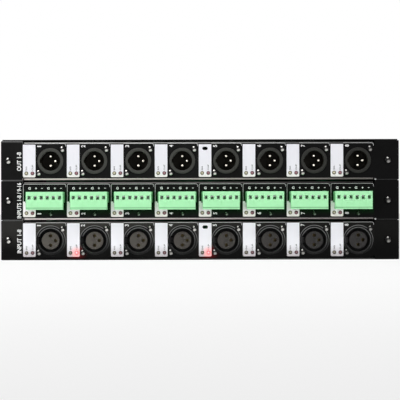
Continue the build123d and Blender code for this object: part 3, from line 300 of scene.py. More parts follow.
def paint(finish, *names):
    for name in names:
        slots = nodes[name].data.materials
        for index in range(len(slots)):
            slots[index] = finish.material


def within_bay(coat):
    """All of it between the ears, nothing on them."""
    start = coat.rise(0, first_left - 0.4 * MM, first_left + 0.1 * MM)
    return start * coat.fall(0, bay_right - MM, bay_right)


def fold_wear(coat, start, end, loss):
    """A painted highlight between two heights, broken up a little and losing a share to the right."""
    fade = 1 - loss * coat.rise(0, cad_low.x, cad_high.x)
    band = coat.band(coat.along(2), start, end) * within_bay(coat)
    return band * fade * (coat.noise(90, 3, (0.2, 1, 1)) * 0.4 + 0.8)


def lamplight(finish, reach):
    """The glow painted round the lamps that are lit."""
    first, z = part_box("peak_leds")[0].x + LAMP_HALF, row_tops["input"] - LAMP_DOWN
    places = [(first + channel_pitch * (channel - 1), front, z) for channel in LIT_CHANNELS]
    return sum(finish.near(place, reach) for place in places)


for row in ROWS:
    coat = black_coat(f"{row}_front_coat", PANEL_TONES[row], 0.32, 2400)
    top, bottom = row_tops[row], row_tops[row] - row_pitch
    ears = 1 - within_bay(coat)
    right = coat.rise(0, cad_low.x * 0.8, cad_high.x * 0.8)
    if row == "input":
        # Painted sheen: the bottom front paler towards its top, fading to the right and on the ears.
        painted_sheen = coat.rise(2, bottom + 6 * MM, top - 8 * MM)
        coat.lay(painted_sheen * (1 - 0.8 * right) * (1 - 0.5 * ears), (0.045, 0.043, 0.040))
        # Painted glow of the lit lamps on the front, as emission.
        painted_lamp_glow = coat.mix(lamplight(coat, SPILL), 0, (0.13, 0.003, 0.004))
        coat.show(Emission_Color=painted_lamp_glow, Emission_Strength=1)
        # Painted highlight round the edges of the socket holes.
        coat.lay(coat.lit_rim(socket_z["input"], *HOLE_RIM_HIGHLIGHT) * within_bay(coat), RIM_HIGHLIGHT)
    else:
        # Painted highlight along the ears' lower edge, weaker to the right.
        ear_edge_highlight = coat.fall(2, bottom + 0.4 * EAR_EDGE_HIGHLIGHT, bottom + EAR_EDGE_HIGHLIGHT)
        coat.lay(ears * ear_edge_highlight * (1 - 0.7 * right), 0.1)
    # Painted highlight along the ears' upper edge, fading to the right.
    if row == "output":
        coat.lay(coat.rise(2, top - EAR_TOP_HIGHLIGHT, top) * ears * (1 - right), 0.14)
    else:
        ear_edge_highlight = coat.rise(2, top - 0.8 * EAR_EDGE_HIGHLIGHT, top - 0.2 * EAR_EDGE_HIGHLIGHT)
        coat.lay(ears * ear_edge_highlight * (1 - right), 0.1)
    if row == "terminal":
        # Painted green bounce light from the plugs on the black front.
        green_bounce = coat.rise(2, bottom + 3 * MM, bottom + 9 * MM) * coat.fall(2, top - 11 * MM, top - 7 * MM)
        coat.lay(green_bounce * within_bay(coat) * 0.7, (0.001, 0.018, 0.003))
    # Painted highlights along the folds at the row's top and foot.
    coat.lay(fold_wear(coat, top - TOP_FOLD_HIGHLIGHT[1], top - TOP_FOLD_HIGHLIGHT[0], 0.9), FOLD_TOP_HIGHLIGHTS[row])
    if row in FOLD_FOOT_HIGHLIGHTS:
        coat.lay(fold_wear(coat, bottom + LOW_FOLD_HIGHLIGHT[0], bottom + LOW_FOLD_HIGHLIGHT[1], 0.75), FOLD_FOOT_HIGHLIGHTS[row])
        # A painted highlight at the fold's right-hand corner.
        corner = (bay_right + FLICK_HIGHLIGHT[0], front, bottom + FLICK_HIGHLIGHT[1])
        coat.lay(coat.near(corner, FLICK_HIGHLIGHT[2]), 0.8)
    paint(coat, f"{row}_panel")

# The printed legends: white ink screened on the fronts. A name at the left of each row reads upwards, as
# the channel numbers do, and a grey line frames each channel.
INK_THICK, INK_SUNK = mm(0.05, 0.01)
NAME_X, NAME_HEIGHT = mm(15.2, 3.6)  # from the front's left edge to the middle of the letters
ROW_NAMES = by_row("OUT 1-8", "INPUTS 1-8 / 9-16", "INPUT 1-8")
NAME_SPANS = by_row(*mm((15.6, 17.4), (29.7, 16.7), (19.8, 17.5)))  # length, row's top to the middle
NUMBER_HEIGHT, NUMBER_WIDTH, ONE_WIDTH = mm(3.3, 1.8, 0.99)
NUMBER_PLACES = by_row(*mm((13.8, 4.6), (13.7, 27.8), (13.3, 4.3)))  # from the channel's left, the row's top
POLE_SIGNS = (("G", *mm(2.0, 2.1)), ("+", *mm(1.6, 1.6)), ("-", *mm(0.45, 1.4)))  # height, length
SIGN_X = mm(5.5, 11.0, 16.0, 21.3, 26.8, 31.9)
SIGN_DOWN = 6.5 * MM
LINE_WIDTHS = by_row(*mm(0.55, 0.4, 0.55))
LINE_DOWNS = by_row(*mm(2.3, 3.0, 2.0))
LINE_STARTS = by_row(*mm(10.6, 0.3, 10.6))
LINE_END, LINE_CORNER, LINE_TAIL, LINE_DROP = mm(36.0, 1.5, 2.4, 15.4)
CORNER_STEPS = 4
CHANNEL_SHIFTS = [(channel_pitch * k, 0, 0) for k in range(1, CHANNELS)]

white_ink = Finish("white_ink")
wear = white_ink.noise(900)
white_ink.lay(wear, 0.72, 0.9)
white_ink.skin(0.55, wear, strength=0.4)
grey_ink = Finish("grey_ink", Roughness=0.6)
# Painted shade: the grey ink darker towards the right.
ink_shade_right = grey_ink.rise(0, cad_low.x * 0.3, cad_high.x)
thin, full = grey_ink.mix(ink_shade_right, 0.42, 0.26), grey_ink.mix(ink_shade_right, 0.64, 0.38)
grey_ink.lay(grey_ink.noise(700), thin, full)


def pick(*pieces):
    """Select these pieces alone, the first as the active one."""
    bpy.ops.object.select_all(action="DESELECT")
    for piece in pieces:
        piece.select_set(True)
    bpy.context.view_layer.objects.active = pieces[0]


def joined(name, pieces):
    pick(*pieces)
    bpy.ops.object.join()
    whole = bpy.context.object
    whole.name = name
    return whole


def again(piece, name, shift=(0, 0, 0)):
    """A copy with a mesh of its own, set off by a distance."""
    twin = piece.copy()
    twin.data = piece.data.copy()
    twin.name = name
    bpy.context.scene.collection.objects.link(twin)
    twin.data.transform(Matrix.Translation(shift))
    return twin


def repeated(piece, name, shifts=CHANNEL_SHIFTS):
    """A piece and its copies, numbered from 2, one for each shift."""
    return [piece] + [again(piece, f"{name}_{k}", shift) for k, shift in enumerate(shifts, start=2)]


def fit(piece, finish, slot, *replaced, body="case"):
    """Give a finished piece its material, its body and the solids that it stands for."""
    piece.data.materials.clear()
    piece.data.materials.append(finish.material)
    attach(piece, body)
    if replaced:
        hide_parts(*replaced)


def legend(words, height, length, x, z, upwards=True, boldness=0.03, face=front, curve=4):
    """Raised letters fitted to a height and a length about a place on a front."""
    bpy.ops.object.text_add()
    text = bpy.context.object.data
    text.body = words
    text.offset = boldness
    text.extrude = 0.5
    text.resolution_u = curve
    bpy.ops.object.convert(target="MESH")
    letters = bpy.context.object
    low, high = (Vector(letters.bound_box[corner]) for corner in (0, 6))
    wide, tall, thick = high - low
    size = Matrix.Diagonal((length / wide, height / tall, INK_THICK / thick, 1))
    turn = Matrix.Rotation(math.radians(-90 if upwards else 0), 4, "Y")
    stand = turn @ Matrix.Rotation(math.radians(90), 4, "X")
    spot = Matrix.Translation((x, face - INK_THICK / 2 + INK_SUNK, z))
    letters.data.transform(spot @ stand @ size @ Matrix.Translation(-(low + high) / 2))
    return letters


for row, words in ROW_NAMES.items():
    length, down = NAME_SPANS[row]
    name = legend(words, NAME_HEIGHT, length, panel_left + NAME_X, row_tops[row] - down, boldness=0.025)
    fit(joined(f"row_name_{row}", [name]), white_ink, "strip_white")

for row, (right, down) in NUMBER_PLACES.items():
    numbers = []
    for channel, left in enumerate(channel_lefts, 1):
        width = ONE_WIDTH if channel == 1 else NUMBER_WIDTH
        numbers.append(legend(str(channel), NUMBER_HEIGHT, width, left + right, row_tops[row] - down))
    fit(joined(f"channel_numbers_{row}", numbers), white_ink, "strip_white")

sign_z = row_tops["terminal"] - SIGN_DOWN
signs = [
    legend(*sign, first_left + right, sign_z, upwards=False)
    for sign, right in zip(POLE_SIGNS * 2, SIGN_X)
]
for twin in repeated(joined("pole_signs_1", signs), "pole_signs"):
    fit(twin, white_ink, "strip_white")

for row, start in LINE_STARTS.items():
    high = row_tops[row] - LINE_DOWNS[row]
    left, right = first_left + start, first_left + LINE_END
    points = [(left, high)]
    if row == "terminal":
        points = [(left, high - LINE_DROP), (left, high - LINE_CORNER / 2), (left + LINE_CORNER / 2, high)]
    for step in range(CORNER_STEPS + 1):
        angle = math.radians(90 * (1 - step / CORNER_STEPS))
        across, up = LINE_CORNER * math.cos(angle), LINE_CORNER * math.sin(angle)
        points.append((right - LINE_CORNER + across, high - LINE_CORNER + up))
    points.append((right, high - LINE_TAIL))
    curve = bpy.data.curves.new("line", "CURVE")
    curve.dimensions = "3D"
    curve.bevel_depth = LINE_WIDTHS[row] / 2
    curve.bevel_resolution = 1
    run = curve.splines.new("POLY")
    run.points.add(len(points) - 1)
    for point, (x, z) in zip(run.points, points):
        point.co = (x, 0, z, 1)
    line = bpy.data.objects.new("line", curve)
    bpy.context.scene.collection.objects.link(line)
    pick(line)
    bpy.ops.object.convert(target="MESH")
    line = bpy.context.object
    flat = Matrix.Diagonal((1, INK_THICK * 2 / LINE_WIDTHS[row], 1, 1))
    line.data.transform(Matrix.Translation((0, front, 0)) @ flat)
    fit(joined(f"channel_lines_{row}", repeated(line, "line")), grey_ink, "strip_white")

# The write-on strips: 0.2 mm white plastic stuck to the fronts, one to a channel, with holes for the two
# lamps and a slot at the fifth channel. The middle row's are cut away for the terminals.
STRIP_T, STRIP_WIDTH, STRIP_CORNER, STRIP_EDGE = mm(0.2, 10.6, 1.0, 0.05)
STRIP_TOPS = by_row(*mm(3.2, 17.6, 2.4))  # below the row's top
STRIP_LOW = 30.6 * MM
NOTCH_X, NOTCH_DOWN = mm(1.95, 18.75)  # the corner that the terminals take
LAMP_X = mm(2.9, 8.0)
LAMP_HOLE_R = 1.6 * MM
SLOT_CHANNEL = 5
SLOT_HALF_X, SLOT_HALF_Z, SLOT_DOWN = mm(2.25, 1.4, 3.5)
LAMP_WORDS = (("SIG", 3.4 * MM), ("CLIP", 4.8 * MM))
LAMP_WORD_HEIGHT, LAMP_WORD_UP = mm(1.2, 2.3)  # and from the lamp's middle to the word's lower end
STRIP_WHITES_AS_LIT = by_row(  # two whites that drift, set apart row by row as painted light and shade: the middle row's brighter and pinker against the plugs' shade and green bounce
    ((0.80, 0.795, 0.85), (0.84, 0.835, 0.88)),
    ((0.97, 0.90, 0.94), (1.0, 0.92, 0.97)),
    ((0.93, 0.925, 0.98), (0.96, 0.955, 1.0)),
)


def slab(name, low, high):
    """A block between two corners."""
    middle = [(a + b) / 2 for a, b in zip(low, high)]
    size = [b - a for a, b in zip(low, high)]
    bpy.ops.mesh.primitive_cube_add(size=1, location=middle, scale=size)
    block = bpy.context.object
    block.name = name
    bpy.ops.object.transform_apply()
    return block


def pad(name, x, z, half_x, half_z, near, far):
    """A block about a place on the front, between two depths."""
    return slab(name, (x - half_x, near, z - half_z), (x + half_x, far, z + half_z))


def edit_chosen(piece, kind, chosen, change, **settings):
    """Run an operator of edit mode on the chosen vertices or edges alone."""
    pick(piece)
    bpy.ops.object.mode_set(mode="EDIT")
    bpy.ops.mesh.select_mode(type=kind)
    bpy.ops.mesh.select_all(action="DESELECT")
    bpy.ops.object.mode_set(mode="OBJECT")
    for part in piece.data.edges if kind == "EDGE" else piece.data.vertices:
        part.select = chosen(part)
    bpy.ops.object.mode_set(mode="EDIT")
    change(**settings)
    bpy.ops.object.mode_set(mode="OBJECT")


def round_edges(piece, axis, radius, segments=5, chosen=lambda middle: True):
    """Round the edges that run along an axis, where their middles are chosen."""
    points = piece.data.vertices

    def wanted(edge):
        start, end = (points[index].co for index in edge.vertices)
        run = end - start
        return abs(run[axis]) > 0.99 * run.length and chosen((start + end) / 2)

    edit_chosen(piece, "EDGE", wanted, bpy.ops.mesh.bevel, offset=radius, segments=segments, affect="EDGES")


def turned(name, place, profile, axis=1, sides=48):
    """A turned piece: a disc at its first radius, drawn along an axis from step to step and closed."""
    turn = ((0, math.pi / 2, 0), (math.pi / 2, 0, 0), (0, 0, 0))[axis]
    radius, reach = profile[0]
    spot = list(place)
    spot[axis] += reach
    bpy.ops.mesh.primitive_circle_add(
        vertices=sides, radius=radius, fill_type="NGON", location=spot, rotation=turn
    )
    piece = bpy.context.object
    piece.name = name
    bpy.ops.object.transform_apply()
    bpy.ops.object.mode_set(mode="EDIT")
    bpy.ops.mesh.select_mode(type="FACE")
    bpy.ops.mesh.select_all(action="SELECT")
    for next_radius, next_reach in profile[1:]:
        move = [0, 0, 0]
        move[axis] = next_reach - reach
        bpy.ops.mesh.extrude_region_move(TRANSFORM_OT_translate={"value": move})
        spot[axis] = place[axis] + next_reach
        scale = [next_radius / radius] * 3
        scale[axis] = 1
        bpy.ops.transform.resize(value=scale, center_override=spot)
        radius, reach = next_radius, next_reach
    bpy.ops.mesh.select_all(action="SELECT")
    bpy.ops.mesh.normals_make_consistent(inside=False)
    bpy.ops.object.mode_set(mode="OBJECT")
    return piece


def cut(piece, *tools, operation="DIFFERENCE"):
    """Take tools out of a piece, or add them to it, one after another."""
    for tool in tools:
        pick(piece)
        change = piece.modifiers.new("change", "BOOLEAN")
        change.operation = operation
        change.solver = "EXACT"
        change.object = tool
        bpy.ops.object.modifier_apply(modifier="change")
        bpy.data.objects.remove(tool)
    return piece


def drilled(piece, places, profile, sides=24):
    """Cut the same turned hole into a piece at every place."""
    return cut(piece, joined("holes", [turned("hole", place, profile, 1, sides) for place in places]))


def smooth(piece, degrees=32):
    pick(piece)
    bpy.ops.object.shade_smooth_by_angle(angle=math.radians(degrees))


def soften(piece, width, segments=1):
    """Break a piece's sharp edges and shade it smooth between them."""
    pick(piece)
    bevel = piece.modifiers.new("bevel", "BEVEL")
    bevel.limit_method = "ANGLE"
    bevel.angle_limit = math.radians(40)
    bevel.width, bevel.segments = width, segments
    bpy.ops.object.modifier_apply(modifier="bevel")
    smooth(piece)


def strip(row, left, has_slot):
    top = row_tops[row]
    low, high = top - STRIP_LOW, top - STRIP_TOPS[row]
    plate = slab("strip", (left, front - STRIP_T, low), (left + STRIP_WIDTH, front, high))
    round_edges(plate, 1, STRIP_CORNER, chosen=lambda middle: middle.z < low + STRIP_CORNER)
    lamps = [(left + x, front, top - LAMP_DOWN) for x in LAMP_X]
    drilled(plate, lamps, ((LAMP_HOLE_R, -MM), (LAMP_HOLE_R, MM)), 32)
    if has_slot:
        middle = (left + STRIP_WIDTH / 2, high - SLOT_DOWN)
        slot = pad("slot", *middle, SLOT_HALF_X, SLOT_HALF_Z, front - MM, front + MM)
        round_edges(slot, 1, SLOT_HALF_Z * 0.96, 8)
        cut(plate, slot)
    if row == "terminal":
        corner = (left + NOTCH_X, front - MM, top - NOTCH_DOWN)
        cut(plate, slab("notch", corner, (left + STRIP_WIDTH + MM, front + MM, high + MM)))
    return plate


for row in ROWS:
    plastic = Finish(f"strip_plastic_{row}", 0.12)
    foot = row_tops[row] - STRIP_LOW
    plastic.lay(plastic.noise(45, 3), *STRIP_WHITES_AS_LIT[row])
    if row == "input":
        # Painted shade: the bottom row's strips greyer towards their lower ends.
        plastic.lay(plastic.fall(2, foot - 2 * MM, foot + 11 * MM), (0.52, 0.48, 0.50))
        # Painted glow of the lit lamps on the strips: a red tint and emission round them.
        glow = lamplight(plastic, 8 * MM)
        plastic.lay(glow, (0.85, 0.36, 0.36))
        painted_lamp_glow = plastic.mix(glow, 0, (1.0, 0.16, 0.13))
        plastic.show(Emission_Color=painted_lamp_glow, Emission_Strength=0.75)
    else:
        plastic.lay(plastic.fall(2, foot, foot + 5 * MM) * 0.6, (0.88, 0.86, 0.76))
    plastic.skin(0.42, plastic.noise(500, 3, (1, 1, 0.1)))
    plates = [
        strip(row, left, row != "terminal" and channel == SLOT_CHANNEL)
        for channel, left in enumerate(channel_lefts, 1)
    ]
    plates = joined(f"write_on_strips_{row}", plates)
    soften(plates, STRIP_EDGE)
    fit(plates, plastic, "strip_white", "label_strips")

dark_ink = Finish("dark_ink", Roughness=0.6)
dark_ink.lay(dark_ink.noise(700), 0.06, 0.14)
for row in ("output", "input"):
    words = []
    for left in channel_lefts:
        for x, (word, length) in zip(LAMP_X, LAMP_WORDS):
            place = (left + x, row_tops[row] - LAMP_DOWN + LAMP_WORD_UP + length / 2)
            words.append(
                legend(word, LAMP_WORD_HEIGHT, length, *place, boldness=0.02, face=front - STRIP_T, curve=2)
            )
    fit(joined(f"lamp_words_{row}", words), dark_ink, "strip_white")

# The lamps: 3 mm domed lamps of tinted resin, a yellow-green one and a red one to a channel, pushed
# through the fronts from behind and soldered to the cards by two leads. Two red ones are lit.
DOME_R, DOME_FRONT = mm(1.5, -0.9)
DOME_STEPS = 6
RIM_FRONT, RIM_BACK = mm(3.0, 4.0)
LEAD_HALF, LEAD_ASIDE, LEAD_BACK, LEAD_DOWN = mm(0.25, 0.8, 11.6, 31.7)

dome = [(LAMP_HALF, RIM_BACK), (LAMP_HALF, RIM_FRONT), (DOME_R, RIM_FRONT)]
for step in range(DOME_STEPS):
    angle = math.radians(90) * step / DOME_STEPS
    dome.append((DOME_R * math.cos(angle), DOME_FRONT + DOME_R * (1 - math.sin(angle))))


def lamp(x, row):
    """A lamp whose vertices remember how far they lie from its axis, and its two leads."""
    z = row_tops[row] - LAMP_DOWN
    lens = turned("lamp", (x, front, z), dome, sides=24)
    smooth(lens, 50)
    away = lens.data.attributes.new("from_axis", "FLOAT", "POINT")
    for vertex, entry in zip(lens.data.vertices, away.data):
        entry.value = math.hypot(vertex.co.x - x, vertex.co.z - z) / DOME_R
    leads = []
    for side in (-LEAD_ASIDE, LEAD_ASIDE):
        left, right = x + side - LEAD_HALF, x + side + LEAD_HALF
        back, foot = front + LEAD_BACK + LEAD_HALF, z - LEAD_HALF
        leads.append(slab("lead", (left, front + RIM_BACK, foot), (right, back, z + LEAD_HALF)))
        low = (left, front + LEAD_BACK - LEAD_HALF, row_tops[row] - LEAD_DOWN)
        leads.append(slab("lead", low, (right, back, foot)))
    return lens, leads


def lens_resin(name, ring, centre, glow=0.0, bottom_row_shade=0.0):
    """Tinted resin, paler at its middle, with painted shade darkening it by a share in the bottom row."""
    resin = Finish(name, 0.3, Coat_Weight=0.15)
    resin.lay(resin.step(resin.from_mesh("from_axis"), 0.25, 0.8), centre, ring)
    if glow:
        resin.show(Emission_Color=resin.tone, Emission_Strength=glow)
    if bottom_row_shade:
        low = resin.fall(2, row_tops["input"], row_tops["input"] + MM)
        resin.lay(low * bottom_row_shade, (0.03, 0.022, 0.02))
    speckle = resin.noise(1500)
    resin.lay(speckle * 0.25, 0.3)
    resin.skin(0.22, speckle, strength=0.3)
    return resin


green_resin = lens_resin(
    "green_lamp_resin", (0.19, 0.17, 0.08), (0.62, 0.57, 0.42), bottom_row_shade=0.65
)
red_resin = lens_resin("red_lamp_resin", (0.16, 0.045, 0.06), (0.34, 0.14, 0.17), bottom_row_shade=0.4)
lit_resin = lens_resin("lit_lamp_resin", (0.55, 0.17, 0.19), (0.98, 0.42, 0.45), 0.7)
solder = Finish("lamp_lead_metal", Metallic=1.0)
solder.lay(solder.noise(400), 0.55, 0.75)
solder.show(Roughness=solder.noise(900) * 0.3 + 0.25)
green_lenses, red_lenses, lit_lenses, lamp_leads = [], [], [], []
for row in ROWS:
    for channel, left in enumerate(channel_lefts, 1):
        lit = row == "input" and channel in LIT_CHANNELS
        for x, lenses in zip(LAMP_X, (green_lenses, lit_lenses if lit else red_lenses)):
            lens, leads = lamp(left + x, row)
            lenses.append(lens)
            lamp_leads += leads
fit(joined("signal_lamps", green_lenses), green_resin, "lamp_green", "signal_leds")
fit(joined("peak_lamps", red_lenses), red_resin, "lamp_red", "peak_leds")
fit(joined("peak_lamps_lit", lit_lenses), lit_resin, "lamp_red", "peak_leds")
fit(joined("lamp_leads", lamp_leads), solder, "contact_metal", "signal_leds", "peak_leds")

# The male sockets: black glass-filled nylon shells, each a square body behind the front with a round cup
# through it, held by two screws. The keyway is at the left of the cup, and three pins stand in its floor.
PANEL_T, BODY_CORNER = mm(1.2, 2.0)
PIN_RING, PIN_R, PIN_GAP, PIN_HOLE_DEPTH = mm(4.0, 1.2, 0.03, 23.0)
CUP_R, CUP_DEPTH = mm(8.1, 14.0)
KEYWAY_HALF, KEYWAY_REACH, KEYWAY_DEPTH, KEYWAY_CORNER = mm(1.7, 0.9, 9.8, 0.5)  # reach past the cup
FLAT_HALF, FLAT_AWAY, FLAT_DEPTH, FLAT_ROOT = mm(2.6, 7.55, 2.0, 0.3)  # away from the axis
FLAT_LEAN = math.radians(-48)
SCREW_ASIDE, SCREW_HOLE_R, SCREW_HOLE_DEPTH = mm(9.9, 1.25, 9.0)
CUP_RING = mm((10.85, 2.4), (10.85, -0.15), (10.7, -0.42), (10.4, -0.57), (10.0, -0.6), (9.0, -0.6))
CUP_HOLLOW = mm(
    (8.9, -0.9), (8.6, -0.6), (8.3, -0.35), (8.15, 0.1), (8.1, 0.8), (8.1, 13.2), (7.85, 13.75), (7.3, 14.0)
)
COLLAR = mm((2.0, 0.2), (1.95, -0.45), (1.75, -0.6), (1.3, -0.6))

nylon = Finish("socket_nylon", 0.1)
cloud = nylon.noise(120, 3)
nylon.lay(cloud, (0.047, 0.048, 0.043), (0.058, 0.059, 0.054))
# Painted shade: the shells darker towards the right.
nylon.lay(nylon.rise(0, -0.05, cad_high.x), (0.022, 0.022, 0.020))
# Painted shade: darker deeper into the cups.
nylon.lay(nylon.rise(1, front + 0.5 * MM, front + 6 * MM), (0.010, 0.008, 0.004))
nylon.skin(cloud * 0.1 + 0.42, nylon.noise(3500), 0.02)


def pin_spots(x, depth, z):
    y = front + depth
    return [(x, y, z + PIN_RING), (x + PIN_RING, y, z), (x, y, z - PIN_RING)]


def socket_body(x, z, depth):
    """The square body behind a front, rounded at its upper corners and drilled for its screws."""
    body = pad("body", x, z, SOCKET_HALF, SOCKET_HALF, front + PANEL_T, front + depth)
    round_edges(body, 1, BODY_CORNER, chosen=lambda middle: middle.z > z)
    screws = [(x + at, front, z + at) for at in (-SCREW_ASIDE, SCREW_ASIDE)]
    return drilled(body, screws, ((SCREW_HOLE_R, -MM), (SCREW_HOLE_R, SCREW_HOLE_DEPTH)))


x, z = first_socket, socket_z["output"]
axis = (x, front, z)
shell = socket_body(x, z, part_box("output_socket_shells")[1].y - front)
cut(shell, turned("ring", axis, CUP_RING, sides=96), operation="UNION")
cut(shell, turned("hollow", axis, CUP_HOLLOW, sides=96))
keyway = slab(
    "keyway", (x - CUP_R - KEYWAY_REACH, front - 2 * MM, z - KEYWAY_HALF),
    (x - PIN_RING - PIN_R, front + KEYWAY_DEPTH, z + KEYWAY_HALF),
)
round_edges(keyway, 1, KEYWAY_CORNER, 3, lambda middle: middle.x < x - CUP_R)
cut(shell, keyway)
low = (x - FLAT_HALF, front, z + FLAT_AWAY)
flat = slab("flat", low, (x + FLAT_HALF, front + FLAT_DEPTH, z + CUP_R + FLAT_ROOT))
centre = Matrix.Translation((x, 0, z))
flat.data.transform(centre @ Matrix.Rotation(FLAT_LEAN, 4, "Y") @ centre.inverted())
cut(shell, flat, operation="UNION")
pin_hole_r = PIN_R + PIN_GAP
drilled(shell, pin_spots(x, 0, z), ((pin_hole_r, CUP_DEPTH - MM), (pin_hole_r, PIN_HOLE_DEPTH)))
collars = []
for place in pin_spots(x, CUP_DEPTH, z):
    bore = turned("bore", place, ((pin_hole_r, -MM), (pin_hole_r, MM)), sides=24)
    collars.append(cut(turned("collar", place, COLLAR, sides=24), bore))
shell = joined("male_shell_1", [shell] + collars)
smooth(shell)
for twin in repeated(shell, "male_shell"):
    fit(twin, nylon, "socket_black", "output_socket_shells")

plate = Finish("pin_plate", Metallic=1.0)  # bright at the tips, with painted shade darkening the pins behind them
pin_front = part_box("output_socket_pins")[0].y
plate.lay(plate.noise(700), (0.86, 0.81, 0.70), (1.0, 0.95, 0.84))
# Painted shade on the pins behind their tips.
plate.lay(plate.rise(1, pin_front + 0.12 * MM, pin_front + 0.45 * MM), (0.15, 0.12, 0.08))
plate.show(Roughness=plate.noise(1200) * 0.1 + 0.22)
paint(plate, "output_socket_pins")

# The female sockets: shells of the same nylon, each with a groove round a softer grey insert. The insert
# has three funnelled holes with plated contacts in them, and a sprung latch reaches in from the left.
INSERT_R, INSERT_GAP = mm(7.4, 0.05)
IN_RING = mm((10.8, 2.4), (10.8, -0.08), (10.68, -0.2), (9.0, -0.2))
IN_GROOVE = mm((10.2, -0.5), (10.05, -0.2), (9.9, 0.1), (9.9, 10.0))
INSERT_EDGE = mm((7.4, 0.75), (7.28, 0.42), (7.0, 0.3))
FUNNEL = mm((1.95, 0.1), (1.85, 0.3), (1.4, 0.8))
CENTRE_RING, CENTRE_CORE = mm(((1.25, -1.0), (1.25, 0.5)), ((0.95, -2.0), (0.95, 1.0)))
WINDOW_OUT, WINDOW_IN, WINDOW_HALF, WINDOW_DEPTH = mm(12.2, 8.0, 5.0, 2.2)  # out and in from the axis
SLOT_OUT, SLOT_IN, SLOT_HALF, SLOT_DEPTH = mm(13.5, 9.2, 3.3, 21.0)
PIVOT_OUT, PIVOT_DEPTH, PIVOT_R, PIVOT_HALF = mm(11.0, 19.0, 0.8, 6.0)
RING_RIM_HIGHLIGHT = mm(10.3, 10.85)


def speckled(name, dark, light, roughness, scale=400, **numbers):
    """A plain material's finish: a tone and a gloss that drift between two ends, and a fine grain."""
    finish = Finish(name, **numbers)
    cloud = finish.noise(scale, 3)
    finish.lay(cloud, dark, light)
    finish.skin(cloud * 0.15 + roughness, finish.noise(scale * 6))
    return finish


x, z = first_socket, socket_z["input"]
axis = (x, front, z)
body_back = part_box("input_socket_shells")[1].y - front
bore_r, through = INSERT_R + INSERT_GAP, body_back + MM
shell = socket_body(x, z, body_back)
cut(shell, turned("ring", axis, IN_RING, sides=96), operation="UNION")
window_low = (x - WINDOW_OUT, front - MM, z - WINDOW_HALF)
slot_low = (x - SLOT_OUT, front + PANEL_T, z - SLOT_HALF)
pivot_place = (x - PIVOT_OUT, front + PIVOT_DEPTH, z)
cut(
    shell,
    turned("groove", axis, IN_GROOVE, sides=96),
    turned("bore", axis, ((bore_r, -MM), (bore_r, through)), sides=96),
    slab("window", window_low, (x - WINDOW_IN, front + WINDOW_DEPTH, z + WINDOW_HALF)),
    slab("slot", slot_low, (x - SLOT_IN, front + SLOT_DEPTH, z + SLOT_HALF)),
    turned("pivot", pivot_place, ((PIVOT_R, -PIVOT_HALF), (PIVOT_R, PIVOT_HALF)), 2, 24),
)
smooth(shell)
shell.name = "female_shell_1"
insert = turned("female_insert_1", axis, ((INSERT_R, body_back), *INSERT_EDGE), sides=96)
drilled(insert, pin_spots(x, 0, z), (*FUNNEL, (FUNNEL[-1][0], through)), 32)
ring = turned("ring", axis, CENTRE_RING, sides=32)
cut(insert, cut(ring, turned("core", axis, CENTRE_CORE, sides=32)))
smooth(insert)

nylon = Finish("female_nylon", 0.1)
cloud = nylon.noise(120, 3)
nylon.lay(cloud, 0.022, 0.03)
# Painted highlight on the shells' rings.
nylon.lay(nylon.lit_rim(z, *RING_RIM_HIGHLIGHT), RIM_HIGHLIGHT)
nylon.skin(cloud * 0.1 + 0.42, nylon.noise(3500), 0.02)
for twin in repeated(shell, "female_shell"):
    fit(twin, nylon, "socket_black", "input_socket_shells")
plastic = Finish("insert_plastic", 0.1)
plastic.lay(plastic.noise(200), (0.088, 0.080, 0.070), (0.105, 0.096, 0.086))
# Painted shade: the inserts darker towards the right.
plastic.lay(plastic.rise(0, -0.12, 0.13), (0.036, 0.034, 0.034))
plastic.skin(plastic.noise(300) * 0.1 + 0.45, plastic.noise(2600), 0.015)
for twin in repeated(insert, "female_insert"):
    fit(twin, plastic, "insert_grey", "input_socket_inserts")
plastic = Finish("latch_plastic", 0.1)
cloud = plastic.noise(300, 3)
plastic.lay(cloud, 0.008, 0.014)
plastic.lay(plastic.rise(0, -0.1, 0.1), 0.06)
plastic.skin(cloud * 0.1 + 0.45, cloud)
paint(plastic, *(f"input_latch_{channel}" for channel in range(1, CHANNELS + 1)))
metal = speckled("spring_metal", 0.42, 0.6, 0.28, 900, Metallic=1.0)
paint(metal, "latch_pivot_pins", "latch_springs")
metal = speckled("contact_plate", (0.10, 0.08, 0.04), (0.2, 0.16, 0.09), 0.3, 700, Metallic=1.0)
paint(metal, "input_socket_contacts")

# The terminal plugs: green nylon blocks of six poles that push into the darker headers behind the front.
# Each pole has a square wire entry over a steel cage, which a slotted screw draws up from below.
POLES, POLE_PITCH = 6, 5.08 * MM
PLUG_GAP, PLUG_EDGE, PLUG_SOFT, GAP = mm(0.6, 0.4, 0.1, 0.1)  # the first from its body to the front
ENTRY_HALF_X, ENTRY_HALF_Z, ENTRY_DOWN = mm(1.3, 1.65, 5.0)
LEDGE_UP, LEDGE_WIDTH, LEDGE_DEPTH, GROOVE_WIDTH = mm(1.2, 0.4, 0.7, 0.3)
NOSE_DOWN, NOSE_HALF_X, NOSE_HALF_Z, NOSE_LENGTH = mm(14.0, 14.94, 3.0, 7.0)
CAGE_HALF, CAGE_WALL = mm(1.9, 0.7)
CAGE_FRONT, CAGE_BACK = mm(2.6, 5.8)  # behind the plug's face
CAGE_UP, CAGE_DOWN = mm(2.3, 2.6)  # from the entry's middle
CAGE_LIFTS = mm(0.1, -0.9, 0.1, -0.5, -0.9, 0.0)
CLAMP_R, HEAD_R, HEAD_H, HEAD_UP, DRIVER_HALF = mm(1.2, 1.6, 1.6, 0.7, 0.35)
BLADE_IN, BLADE_OUT, BLADE_HALF = mm(0.62, 1.02, 0.55)

